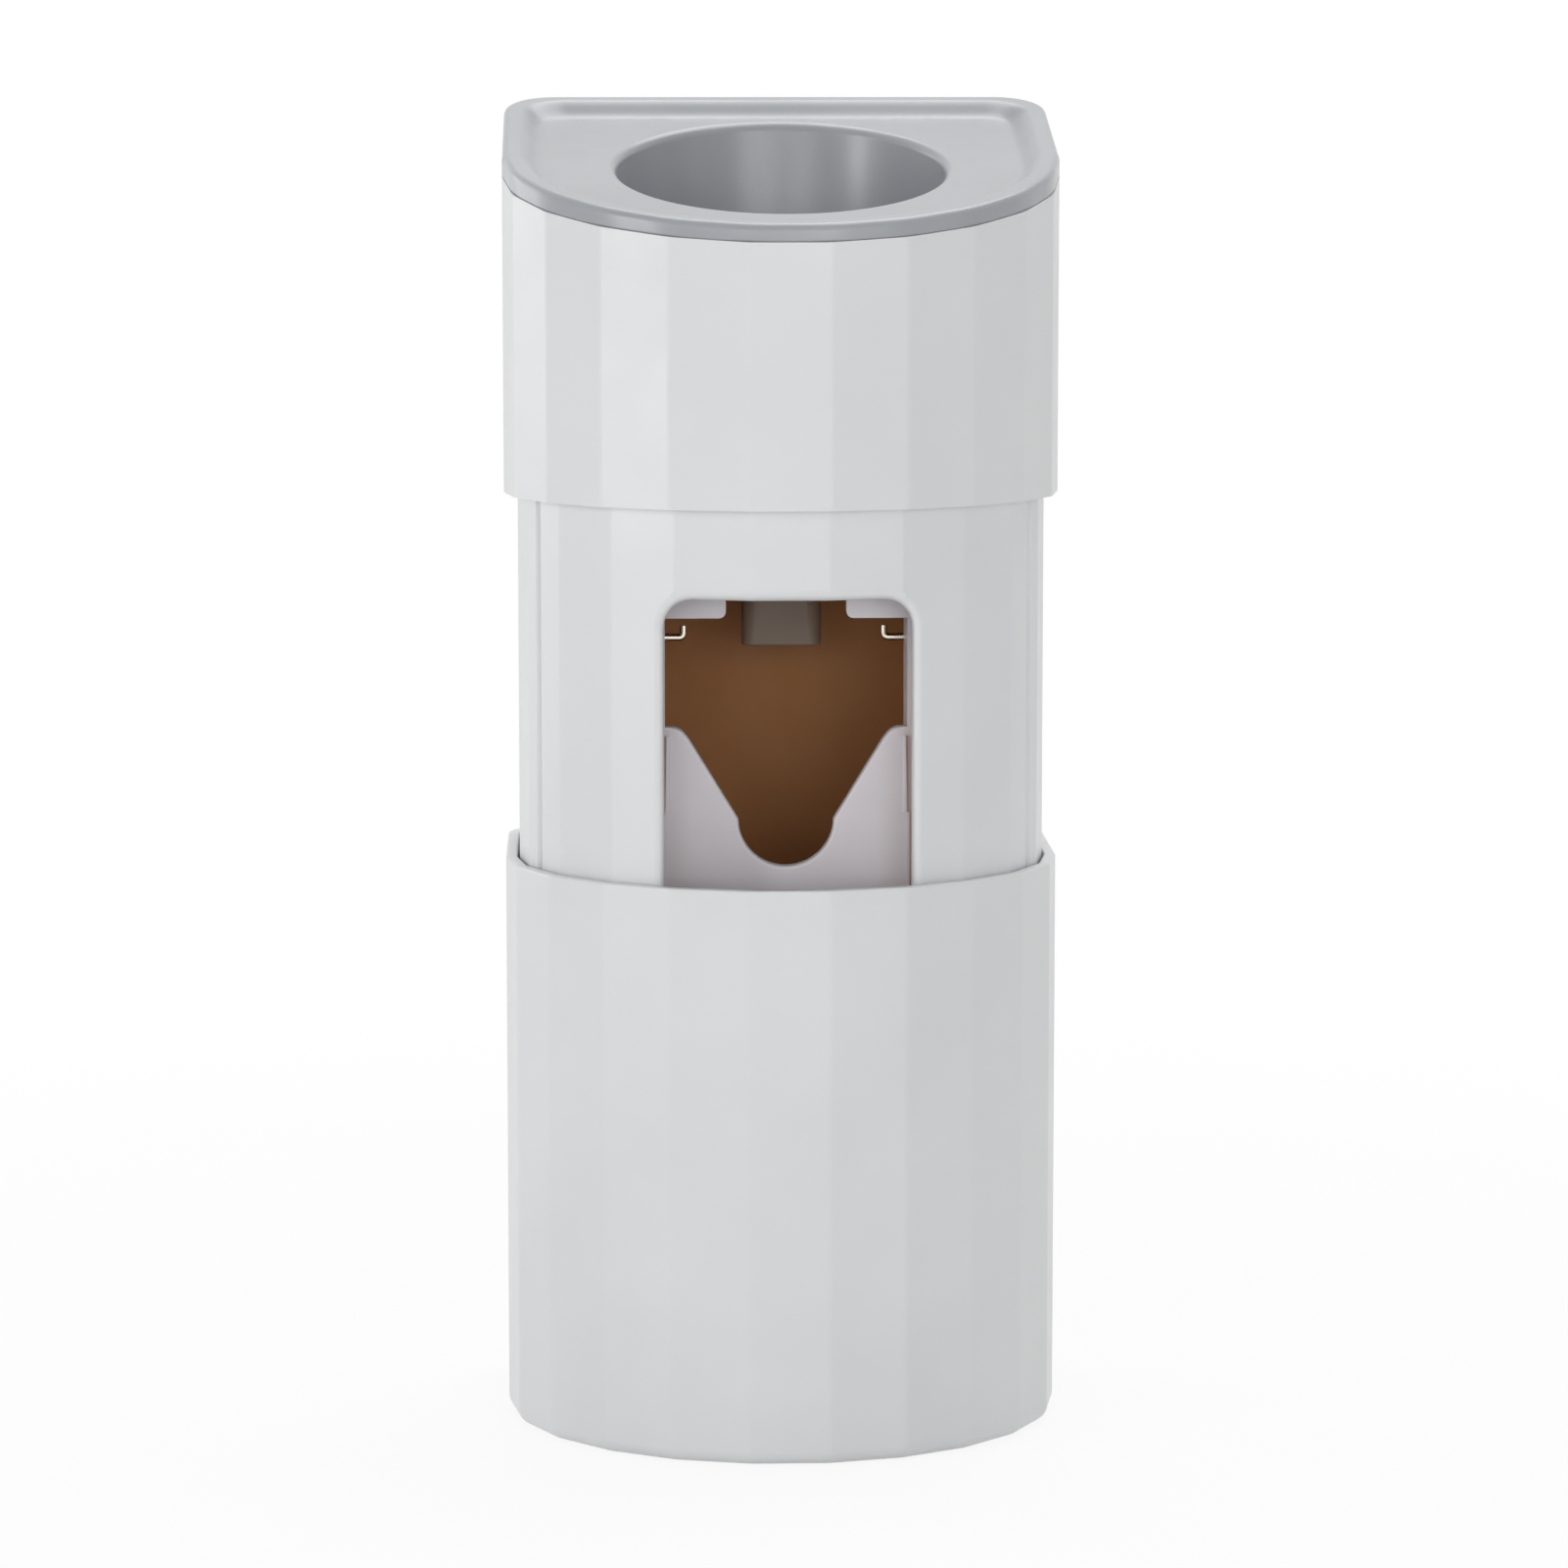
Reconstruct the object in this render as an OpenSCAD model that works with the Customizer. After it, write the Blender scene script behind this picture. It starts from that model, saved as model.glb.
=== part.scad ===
// Wall-hung toothpaste dispenser with a push lever and a sliding dust cover.
// The pieces are laid out round the upright axis of the faceted front, with z = 0 under the
// closed cover, +y towards the wall. in_case() then moves them so that the origin is the
// middle of the adhesive pad's face on the wall. The cover is drawn slid down, as it rests.

/* [Case] */
// Width of the case across its straight sides
case_w = 76; // [72:1:84]
// Depth of the faceted round front
front_depth = 35; // [34:0.5:40]
// Length of the straight sides behind the round front
side_len = 31; // [29:1:38]
// Radius of the two back corners
corner_r = 7; // [5:0.5:8]
// Number of flats round the front
flats = 11; // [9:2:15]
// Wall of the upper shell and of the cover
skin_t = 1.6; // [1.3:0.1:2]
// Gap between the cover and the housing it slides on
slide_gap = 0.3; // [0.2:0.05:0.4]
// Wall of the inner housing
housing_t = 2; // [1.7:0.1:2.4]
// Gap between the back of the case and the wall
wall_gap = 1.6; // [1.4:0.1:2.5]

/* [Cover] */
// Height of the sliding cover
cover_h = 78; // [74:1:86]
// Floor of the sliding cover
cover_floor_t = 2; // [1.5:0.1:2.5]
// Width of the chamfer under the cover
cover_chamfer = 1.2; // [0.6:0.1:2]
// How far the cover slides down
cover_travel = 50; // [40:1:52]
// Seam between the closed cover and the upper shell
seam_gap = 0.3; // [0.2:0.1:0.6]
// Height of the runner on each side of the cover
runner_h = 6; // [4:0.5:8]
// Width of the runner
runner_w = 2.4; // [2:0.1:3]
// How far the runner stands in from the cover's wall
runner_depth = 1; // [0.8:0.1:1.2]

/* [Tray] */
// Height of the upper shell at the front
shell_front_h = 35.1; // [34:0.5:40]
// Tilt of the seam under the tray
seam_tilt = 12.6; // [10:0.2:14]
// Tilt of the top of the tray
tray_tilt = 13.8; // [12:0.2:16]
// Height of the tray's lip at the front
lip_h = 2.3; // [2:0.1:3]
// Width of the raised rim
rim_w = 2.2; // [1.5:0.1:3]
// Width of the slope inside the rim
dish_w = 3.2; // [2:0.1:4]
// Depth of the dish inside the rim
dish_depth = 1.8; // [1:0.1:2]
// Wall and floor of the tray
tray_t = 1.6; // [1.2:0.1:2]
// Depth of the tray's skirt inside the shell
skirt_h = 3; // [2:0.5:4]
// Radius of the well at its mouth
well_r = 23.1; // [22:0.1:25]
// How much narrower the well is at its floor
well_taper = 1.5; // [1:0.1:2]
// Depth of the well's floor below the seam at the front
well_drop = 3.2; // [2.5:0.1:4]
// Radius of the hole in the well's floor
well_hole_r = 14; // [13.2:0.1:15]

/* [Window and lever] */
// Width of the window
window_w = 33; // [33:0.2:34]
// Distance of the window's top below the upper shell
window_drop = 12.1; // [11:0.1:14]
// Radius of the window's corners
window_r = 3.8; // [2:0.1:5]
// Height of the window's sill above the housing's foot
window_sill = 9; // [5:0.5:14]
// Thickness of the lever's plate
lever_t = 2; // [1.6:0.1:2.4]
// Thickness of the lever's side arms
arm_t = 1.2; // [1:0.1:1.5]
// Gap between the lever's foot and the floor of the liner
lever_gap = 1.8; // [1:0.1:4]
// Distance of the notch's bottom below the hinge
notch_drop = 68.8; // [66:0.2:72]
// Radius of the notch's round bottom
notch_r = 6.4; // [5:0.1:7]
// Width of the shoulder at each side of the notch
shoulder_w = 4.2; // [4:0.1:5.5]
// Distance of the shoulders below the hinge
shoulder_drop = 49.9; // [48:0.1:52]
// Distance of the tabs' lower edge below the hinge
tab_drop = 35.2; // [34:0.1:38]
// Gap between the two tabs
tab_gap = 16.2; // [14:0.2:18]

/* [Pump] */
// Outer radius of the squeezed tube
tube_r = 7; // [6:0.1:7.2]
// Wall of the squeezed tube
tube_t = 1.6; // [1.2:0.1:2]
// Free length of the tube between the shelf and the deck
pump_len = 26; // [25:0.5:28]
// Width of the flat outlet
outlet_w = 10.9; // [9:0.1:11.5]
// Thickness of the flat outlet
outlet_d = 5; // [4:0.1:6]
// Distance of the outlet's lip below the shelf
outlet_drop = 12.8; // [11:0.1:14]
// Radius of the socket that grips the tube's neck
socket_r = 6.2; // [5.5:0.1:7]
// Depth of the socket
socket_depth = 3.2; // [2.5:0.1:4]
// Radius of the hinge pins
pin_r = 1.25; // [1:0.05:1.5]
// Diameter of the spring wire
wire_d = 1; // [0.8:0.05:1]

/* [Wall plate] */
// Width of the wall plate
plate_w = 52; // [48:1:54]
// Height of the wall plate
plate_h = 24; // [22:1:26]
// Thickness of the wall plate
plate_t = 2.4; // [2:0.1:3]
// Thickness of the adhesive pad
pad_t = 0.8; // [0.5:0.1:1]
// Distance between the two hanging studs
stud_gap = 24; // [22:1:28]
// Radius of a stud's neck
stud_r = 2; // [1.8:0.1:2.4]
// Distance between the two screw holes
wall_hole_gap = 42; // [40:1:44]
// Radius of a screw hole in the wall plate
wall_hole_r = 2.1; // [1.8:0.1:2.3]
// How far the dispenser lifts to come off the studs
lift = 9; // [8:0.5:10]

/* [Hidden] */
$fn = 64;

// Colours seen in the photograph
white_skin = [0.83, 0.84, 0.86];
grey_tray = [0.66, 0.67, 0.69];
brown_inside = [0.38, 0.26, 0.16];
milky = [0.74, 0.71, 0.75];
silicone = [0.76, 0.75, 0.74];
clear_silicone = [0.47, 0.42, 0.37];
steel = [0.75, 0.72, 0.66];

// Clearances and the overrun of every cut
fit_gap = 0.3;
run_gap = 0.05;
floor_gap = 1;
over = 1;
// Length of every cutting block, past the whole case
cut_block = 4 * (case_w + cover_h);

// Outlines, as distances in from the outer skin
housing_in = skin_t + slide_gap;
room_in = housing_in + housing_t;
skirt_in = skin_t + fit_gap;
corner_steps = 8;

// Heights above the closed cover's underside
shell_z = cover_h + seam_gap;
seam_z = shell_z + shell_front_h;
housing_z = cover_floor_t + floor_gap;
housing_floor_z = housing_z + housing_t;
housing_top_z = seam_z - skirt_h - fit_gap;
well_floor_z = seam_z - well_drop;
window_top_z = shell_z - window_drop;
window_z = housing_z + window_sill;

// Seal stack under the well, resting on the pump frame's deck
holder_gap = 1.2;
holder_h = 11.4;
holder_t = 2.7;
flange_t = 1.8;
valve_t = 1.2;
seal_r = 12.5;
seal_lip_w = 1;
seal_drop = 1.2;
seal_base_t = 1.2;
flange_r = 11;
valve_hole_r = 2.5;
holder_top_z = well_floor_z - tray_t - holder_gap;
deck_z = holder_top_z - holder_h;
holder_r = seal_r + fit_gap + holder_t;
valve_z = deck_z + flange_t;
seal_z = valve_z + valve_t;
seal_top_z = holder_top_z - seal_drop;
socket_z = seal_z + seal_base_t;

// Pump frame, round the squeezed tube
frame_t = 2;
shelf_z = deck_z - pump_len;
shelf_w = 28;
shelf_lip = 0.5;
anvil_w = 14;
post_r = 3;
post_x = 20;
post_drop = 8;
post_rise = 4;
frame_rise = 8;
frame_reach = 11.7;
post_low_z = shelf_z - post_drop;
post_high_z = deck_z + post_rise;
frame_low_z = shelf_z - outlet_drop;
frame_high_z = deck_z + frame_rise;
anvil_y = tube_r + fit_gap;
frame_back_y = anvil_y + frame_reach;
low_flange_r = 9;
low_flange_t = 1.5;
outlet_flange_t = 1.7;
outlet_barrel_r = 6.2;
outlet_barrel_h = 4;
outlet_wall = 1.1;
collar_t = 1.2;
collar_r = low_flange_r + fit_gap + collar_t;
tube_foot_z = shelf_z + outlet_flange_t;
collar_z = tube_foot_z + low_flange_t;
collar_top_z = collar_z + collar_t;

// Lever, hung from two pins; its plate is the front face and laps behind the window's edge
liner_t = 1.2;
lever_lap = 1;
lever_half = window_w / 2 + lever_lap;
notch_mouth = lever_half - shoulder_w;
hinge_rise = 2;
pivot_y = -12;
pivot_z = deck_z + hinge_rise;
lever_y = -20;
lever_foot_z = housing_floor_z + liner_t + lever_gap;
shoulder_z = pivot_z - shoulder_drop;
notch_z = pivot_z - notch_drop;
tab_z = pivot_z - tab_drop;
ear_r = 4;
arm_back_y = -10.4;
arm_foot_w = 4;
bar_rise = 7;
bar_h = 11;
bar_low_z = shelf_z + bar_rise;
bar_high_z = bar_low_z + bar_h;
bar_back_y = -11;
tab_slot_h = 9;
pad_half_w = 6;
pad_inset = 1;
ridge_w = 0.6;
ridge_d = 0.6;
ridge_jog = 0.5;
jog_rise = 1;
jog_z = notch_z + notch_r + jog_rise;
stop_rise = 3;
stop_h = 4;
stop_t = 1.4;
stop_lap = 1.4;
stop_z = bar_low_z + stop_rise;
stop_y = lever_y - fit_gap - stop_t;

// Return springs, wound round the pins outside the lever's ears
spring_r = 2.4;
spring_pitch = 1.5;
spring_turns = 1.75;
rings_per_turn = 8;
spring_sides = 6;
spring_side_gap = 0.4;
spring_x = lever_half + spring_side_gap + wire_d / 2;
spring_end_x = spring_x + spring_pitch * spring_turns;
hook_drop = 38.8;
hook_z = pivot_z - hook_drop;
hook_reach = 4.5;
hook_rise = 1.6;
hook_bend = 0.6;
short_leg = 8;
lug_w = 1.6;
lug_d = 4;
lug_h = 1.5;
cheek_x = spring_end_x + wire_d / 2 + fit_gap;
cheek_y = 17;
pin_head_r = 2.2;
pin_head_t = 0.9;
pin_proud = 0.8;

// Liner behind the window, standing on the housing's floor
liner_gap = 0.7;
hook_gap = 1.7;
liner_x = lever_half + liner_gap;
liner_side_z = hook_z - wire_d / 2 - hook_gap;
liner_back_z = window_top_z;
liner_back_y = frame_back_y - frame_t - fit_gap;

// Back plate, let into the housing's back
back_skin_y = side_len - housing_in;
back_t = 2;
back_margin = 2;
back_edge = 1.5;
back_room_y = back_skin_y - back_t;
back_w = case_w - 2 * (corner_r + back_margin);
back_low_z = housing_floor_z + back_edge;
back_high_z = seam_z - back_edge;
block_w = 8;
block_h = 7;
block_d = 6;
block_side = 3;
block_end = 6;
block_screw_x = back_w / 2 - block_side;
block_low_z = back_low_z + block_end;
block_high_z = back_high_z - block_end;
pilot_r = 1.45;
pilot_depth = 7;
screw_r = 1.4;
screw_hole_r = 1.7;
screw_head_r = 2.8;
screw_head_t = 1.2;
screw_len = 7.5;

// Wall plate, centred on the origin
mount_rise = 23.7;
mount_z = shell_z + mount_rise;
wall_y = side_len + wall_gap;
plate_back_y = wall_y - pad_t;
plate_front_y = plate_back_y - plate_t;
plate_r = 4;
stud_head_r = 4;
stud_head_t = 1.6;
stud_head_y = back_room_y - fit_gap;
key_gap = 0.4;
key_r = stud_head_r + key_gap;
key_slot_r = stud_r + fit_gap;
wall_sink_t = 1.2;
wall_sink_r = 3.6;
pad_margin = 0.8;

// Runner groove, catches and stops at each side
groove_y = 10;
groove_w = runner_w + 2 * fit_gap;
groove_depth = runner_depth + fit_gap - slide_gap;
runner_inset = 2;
buffer_h = 2;
runner_z = cover_h - runner_inset - runner_h;
groove_foot_z = runner_z - cover_travel - fit_gap - buffer_h;
side_x = case_w / 2 - housing_in;
catch_drop = 6;
catch_z = runner_z - catch_drop;
catch_h = 8;
catch_w = 2.6;
catch_plate_w = 6;
catch_t = 0.6;
catch_gap = 0.1;
seam_line_inset = 2.8;
seam_line_x = side_x - seam_line_inset;
seam_line_w = 0.8;
seam_line_d = 0.5;

// Outline of the case at a distance in from the skin: flats in front, rounded back corners.
// flat_y is the y of the outline's front at an x.
function front_points(in) = [for (k = [0:flats])
    [-(case_w / 2 - in) * cos(180 * k / flats), -(front_depth - in) * sin(180 * k / flats)]];
function flat_y(x, in) = let (p = front_points(in), k = max([for (i = [0:flats - 1])
    if (p[i].x <= x) i])) p[k].y + (p[k + 1].y - p[k].y) * (x - p[k].x) / (p[k + 1].x - p[k].x);
function corner_points(cx, cy, r, start) = [for (i = [0:corner_steps])
    [cx + r * cos(start + 90 * i / corner_steps), cy + r * sin(start + 90 * i / corner_steps)]];
function case_points(in) = let (r = corner_r - in / 2, x = case_w / 2 - in - r,
    y = side_len - in - r)
    concat(front_points(in), corner_points(x, y, r, 0), corner_points(-x, y, r, 90));
function plate_points(w, h, r) = concat(
    corner_points(w / 2 - r, h / 2 - r, r, 0), corner_points(r - w / 2, h / 2 - r, r, 90),
    corner_points(r - w / 2, r - h / 2, r, 180), corner_points(w / 2 - r, r - h / 2, r, 270));

// Path and mesh of a bent wire
function unit(v) = v / norm(v);
function tangents(p) = [for (i = [0:len(p) - 1])
    unit(p[min(i + 1, len(p) - 1)] - p[max(i - 1, 0)])];
function carried(n, t) = unit(n - t * (n * t));
function normals(t, n, i = 0) = i == len(t) ? [] :
    let (m = carried(n, t[i])) concat([m], normals(t, m, i + 1));
function wire_rings(p, r, sides) = let (t = tangents(p), n = normals(t, [0.2, 1, 0.1]))
    [for (i = [0:len(p) - 1]) for (j = [0:sides - 1])
        p[i] + r * (cos(360 * j / sides) * n[i] + sin(360 * j / sides) * cross(t[i], n[i]))];
function wire_faces(count, sides) = concat(
    [[for (j = [0:sides - 1]) j]],
    [for (i = [0:count - 2]) for (j = [0:sides - 1]) let (k = (j + 1) % sides)
        [i * sides + j, (i + 1) * sides + j, (i + 1) * sides + k]],
    [for (i = [0:count - 2]) for (j = [0:sides - 1]) let (k = (j + 1) % sides)
        [i * sides + j, (i + 1) * sides + k, i * sides + k]],
    [[for (j = [sides - 1:-1:0]) (count - 1) * sides + j]]);

// Right-hand spring: curled tip, hook across the arm, long leg, coil, short leg
leg_y = pivot_y + spring_r;
tip_x = lever_half - hook_reach + hook_bend;
coil_steps = spring_turns * rings_per_turn;
spring_path = concat(
    [[tip_x, leg_y, hook_z + hook_rise], [tip_x, leg_y, hook_z + hook_bend],
     [tip_x + hook_bend / 3, leg_y, hook_z + hook_bend / 3],
     [tip_x + hook_bend, leg_y, hook_z], [spring_x - hook_bend, leg_y, hook_z],
     [spring_x - hook_bend / 3, leg_y, hook_z + hook_bend / 3],
     [spring_x, leg_y, hook_z + hook_bend],
     [spring_x, leg_y, (hook_z + pivot_z) / 2]],
    [for (i = [0:coil_steps]) let (a = 360 * i / rings_per_turn)
        [spring_x + spring_pitch * i / rings_per_turn,
         pivot_y + spring_r * cos(a), pivot_z + spring_r * sin(a)]],
    [[spring_end_x, pivot_y + short_leg, pivot_z - spring_r]]);
// Least gap between curls, measured on points more than half a turn apart
last_ring = len(spring_path) - 1;
spring_gap = min([for (i = [0:last_ring - rings_per_turn])
    for (j = [i + rings_per_turn / 2 + 1:last_ring])
        norm(spring_path[j] - spring_path[i])]) - wire_d;
echo(spring_gap = spring_gap);

module in_case() translate([0, -wall_y, -mount_z]) children();
module both_sides() {
    children();
    mirror([1, 0, 0]) children();
}
module case_prism(in, low, high) translate([0, 0, low]) linear_extrude(high - low)
    polygon(case_points(in));
// Everything above or below a plane that rises to the back from a height at the front
module above(z, tilt) translate([0, -front_depth, z]) rotate([tilt, 0, 0])
    translate([-cut_block / 2, -cut_block / 2, 0]) cube(cut_block);
module below(z, tilt) translate([0, -front_depth, z]) rotate([tilt, 0, 0])
    translate([-cut_block / 2, -cut_block / 2, -cut_block]) cube(cut_block);
// A plate that stands upright, facing the wall
module upright(y, t, z = 0) translate([0, y + t, z]) rotate([90, 0, 0]) linear_extrude(t)
    children();
module rod_y(x, y, z, r, depth) translate([x, y, z]) rotate([-90, 0, 0])
    cylinder(depth, r = r);
module rod_x(x, y, z, r, depth) translate([x, y, z]) rotate([0, 90, 0])
    cylinder(depth, r = r);
module ring(low, high, outer, inner) translate([0, 0, low]) difference() {
    cylinder(high - low, r = outer);
    translate([0, 0, -over]) cylinder(high - low + 2 * over, r = inner);
}

module wall_plate() color(milky) in_case() translate([0, 0, mount_z]) {
    difference() {
        upright(plate_front_y, plate_t) polygon(plate_points(plate_w, plate_h, plate_r));
        both_sides() {
            rod_y(wall_hole_gap / 2, plate_front_y - over, 0, wall_hole_r, plate_t + 2 * over);
            translate([wall_hole_gap / 2, plate_front_y, 0]) rotate([-90, 0, 0])
                cylinder(wall_sink_t, r1 = wall_sink_r, r2 = wall_hole_r);
        }
    }
    both_sides() {
        rod_y(stud_gap / 2, stud_head_y, 0, stud_r, plate_front_y - stud_head_y);
        rod_y(stud_gap / 2, stud_head_y - stud_head_t, 0, stud_head_r, stud_head_t);
    }
}

module adhesive_pad() color("silver") in_case() translate([0, 0, mount_z]) difference() {
    upright(plate_back_y, pad_t)
        polygon(plate_points(plate_w - 2 * pad_margin, plate_h - 2 * pad_margin, plate_r));
    both_sides()
        rod_y(wall_hole_gap / 2, plate_back_y - over, 0, wall_sink_r, pad_t + 2 * over);
}

// Screw places on the back plate: four into the housing, four into the frame
module housing_screw_places() both_sides() for (z = [block_low_z, block_high_z])
    translate([block_screw_x, 0, z]) children();
module frame_screw_places() both_sides() for (z = [post_low_z, post_high_z])
    translate([post_x, 0, z]) children();
module screw() {
    rod_y(0, back_skin_y - screw_len, 0, screw_r, screw_len - screw_head_t);
    translate([0, back_skin_y - screw_head_t, 0]) rotate([-90, 0, 0])
        cylinder(screw_head_t, r1 = screw_r, r2 = screw_head_r);
}
module screw_hole() {
    rod_y(0, back_room_y - over, 0, screw_hole_r, back_t + 2 * over);
    translate([0, back_skin_y - screw_head_t - run_gap, 0]) rotate([-90, 0, 0])
        cylinder(screw_head_t + run_gap, r1 = screw_hole_r, r2 = screw_head_r + fit_gap);
}

module back_plate() color(white_skin) in_case() difference() {
    translate([-back_w / 2, back_room_y, back_low_z])
        cube([back_w, back_t, back_high_z - back_low_z]);
    housing_screw_places() screw_hole();
    frame_screw_places() screw_hole();
    both_sides() {
        rod_y(stud_gap / 2, back_room_y - over, mount_z, key_slot_r, back_t + 2 * over);
        rod_y(stud_gap / 2, back_room_y - over, mount_z - lift, key_r, back_t + 2 * over);
        translate([stud_gap / 2 - key_slot_r, back_room_y - over, mount_z - lift])
            cube([2 * key_slot_r, back_t + 2 * over, lift]);
    }
}

module front_housing() color(white_skin) in_case() {
    difference() {
        case_prism(housing_in, housing_z, housing_top_z + cut_block / 4);
        above(housing_top_z, seam_tilt);
        case_prism(room_in, housing_floor_z, housing_top_z + cut_block / 2);
        translate([-back_w / 2 - fit_gap, back_room_y - housing_t, back_low_z - fit_gap])
            cube([back_w + 2 * fit_gap, back_t + 2 * housing_t,
                back_high_z - back_low_z + 2 * fit_gap]);
        upright(-front_depth - over, front_depth / 2, (window_z + window_top_z) / 2)
            polygon(plate_points(window_w, window_top_z - window_z, window_r));
        both_sides() {
            translate([side_x - groove_depth, groove_y - groove_w / 2, groove_foot_z])
                cube([groove_depth + over, groove_w, shell_z - groove_foot_z]);
            translate([side_x - housing_t - over, groove_y - catch_w / 2 - fit_gap,
                catch_z - fit_gap])
                cube([housing_t, catch_w + 2 * fit_gap, catch_h + 2 * fit_gap]);
            seam_line();
        }
    }
    both_sides() for (z = [block_low_z, block_high_z]) screw_block(z);
}
// Fine upright line near each side of the housing's front
module seam_line() {
    front_y = flat_y(seam_line_x, housing_in);
    translate([seam_line_x - seam_line_w / 2, front_y - over, window_z])
        cube([seam_line_w, seam_line_d + over, shell_z - window_z]);
}
// Block in a back corner of the housing that takes a screw of the back plate
module screw_block(z) difference() {
    intersection() {
        translate([block_screw_x - block_w / 2, back_room_y - block_d, z - block_h / 2])
            cube([block_w + corner_r, block_d, block_h]);
        case_prism(housing_in + housing_t / 2, z - block_h, z + block_h);
    }
    rod_y(block_screw_x, back_room_y - pilot_depth, z, pilot_r, pilot_depth + over);
}

module upper_shell() color(white_skin) in_case() difference() {
    case_prism(0, shell_z, seam_z + cut_block / 4);
    above(seam_z, seam_tilt);
    case_prism(skin_t, shell_z - over, seam_z + cut_block / 2);
    upright(side_len - skin_t - over, skin_t + 2 * over, mount_z - lift / 2)
        polygon(plate_points(plate_w + 2 * over, plate_h + lift + 2 * over, plate_r));
}

module top_tray() color(grey_tray) in_case() difference() {
    union() {
        difference() {
            case_prism(0, seam_z - over, seam_z + cut_block / 4);
            above(seam_z + lip_h, tray_tilt);
            below(seam_z, seam_tilt);
        }
        difference() {
            case_prism(skirt_in, seam_z - skirt_h - over, seam_z + cut_block / 4);
            above(seam_z + lip_h / 2, seam_tilt);
            below(seam_z - skirt_h, seam_tilt);
            difference() {
                case_prism(skirt_in + tray_t, 0, seam_z + cut_block / 2);
                above(seam_z - tray_t, seam_tilt);
            }
        }
        difference() {
            translate([0, 0, well_floor_z - tray_t])
                cylinder(well_h, r1 = well_r - well_taper + tray_t, r2 = well_r + tray_t);
            above(seam_z, seam_tilt);
        }
    }
    dish();
    translate([0, 0, well_floor_z])
        cylinder(well_h, r1 = well_r - well_taper, r2 = well_r);
    translate([0, 0, well_floor_z - tray_t - over])
        cylinder(tray_t + 2 * over, r = well_hole_r);
}
// Height of the well's cone, up past the tray at the back of the well
well_h = well_drop + lip_h + (front_depth + well_r) * tan(tray_tilt) + tray_t;
// Thin sheet of the case's outline, lying in the tray's tilted plane
module tilted_sheet(in, z) intersection() {
    case_prism(in, seam_z - cut_block / 4, seam_z + cut_block / 4);
    above(z, tray_tilt);
    below(z + run_gap, tray_tilt);
}
module dish() hull() {
    tilted_sheet(rim_w, seam_z + lip_h + run_gap);
    tilted_sheet(rim_w + dish_w, seam_z + lip_h - dish_depth);
}

module sliding_cover() color(white_skin) in_case() translate([0, 0, -cover_travel]) {
    difference() {
        union() {
            case_prism(0, cover_chamfer, cover_h);
            hull() {
                case_prism(cover_chamfer, 0, run_gap);
                case_prism(0, cover_chamfer - run_gap, cover_chamfer);
            }
        }
        case_prism(skin_t, cover_floor_t, cover_h + over);
    }
    both_sides() translate([case_w / 2 - skin_t - runner_depth, groove_y - runner_w / 2,
        runner_z]) cube([runner_depth + skin_t / 2, runner_w, runner_h]);
}

module throat_liner() color(brown_inside) in_case() {
    front_y = flat_y(liner_x + liner_t, room_in) + fit_gap;
    both_sides() translate([liner_x, front_y, housing_floor_z])
        cube([liner_t, liner_back_y - front_y, liner_side_z - housing_floor_z]);
    translate([-liner_x - liner_t, liner_back_y - liner_t, housing_floor_z])
        cube([2 * (liner_x + liner_t), liner_t, liner_back_z - housing_floor_z]);
    translate([-liner_x - liner_t, front_y, housing_floor_z])
        cube([2 * (liner_x + liner_t), liner_back_y - front_y, liner_t]);
}

module pump_frame() color(brown_inside) in_case() difference() {
    union() {
        translate([-cheek_x - frame_t, frame_back_y - frame_t, frame_low_z])
            cube([2 * (cheek_x + frame_t), frame_t, frame_high_z - frame_low_z]);
        both_sides() {
            translate([cheek_x, -cheek_y, frame_low_z])
                cube([frame_t, cheek_y + frame_back_y, frame_high_z - frame_low_z]);
            translate([cheek_x - lug_w, pivot_y + lug_d,
                pivot_z - spring_r + wire_d / 2 + run_gap])
                cube([lug_w + frame_t / 2, lug_d, lug_h]);
            lever_stop();
        }
        translate([0, 0, deck_z - frame_t]) cylinder(frame_t, r = holder_r);
        translate([-cheek_x - frame_t / 2, 0, deck_z - frame_t])
            cube([2 * cheek_x + frame_t, frame_back_y - frame_t / 2, frame_t]);
        translate([-shelf_w / 2, -collar_r - shelf_lip, shelf_z - frame_t])
            cube([shelf_w, collar_r + shelf_lip + frame_back_y - frame_t / 2, frame_t]);
        translate([-anvil_w / 2, anvil_y, shelf_z - frame_t])
            cube([anvil_w, frame_t, pump_len]);
        translate([-frame_t / 2, anvil_y, shelf_z - frame_t])
            cube([frame_t, frame_back_y - anvil_y - frame_t / 2, pump_len]);
        frame_screw_places()
            rod_y(0, frame_back_y - frame_t / 2, 0, post_r,
                back_room_y - frame_back_y + frame_t / 2);
    }
    translate([0, 0, deck_z - frame_t - over]) cylinder(frame_t + 2 * over,
        r = tube_r + fit_gap);
    translate([0, 0, shelf_z - frame_t - over]) cylinder(frame_t + 2 * over,
        r = outlet_barrel_r + fit_gap);
    // Room for the collar at the foot of the anvil
    translate([0, 0, shelf_z]) cylinder(collar_top_z + fit_gap - shelf_z,
        r = collar_r + fit_gap);
    both_sides() rod_x(cheek_x - over, pivot_y, pivot_z, pin_r, frame_t + 2 * over);
    frame_screw_places() rod_y(0, back_room_y - pilot_depth, 0, pilot_r,
        pilot_depth + over);
}

// Hook on the frame's cheek that the lever rests against
module lever_stop() {
    translate([lever_half - stop_lap, stop_y, stop_z])
        cube([cheek_x + frame_t / 2 - lever_half + stop_lap, stop_t, stop_h]);
    translate([cheek_x, stop_y, stop_z]) cube([frame_t / 2, -cheek_y - stop_y + over, stop_h]);
}

module seal_holder() color("white") in_case() {
    ring(deck_z, holder_top_z, holder_r, seal_r + fit_gap);
}

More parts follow.
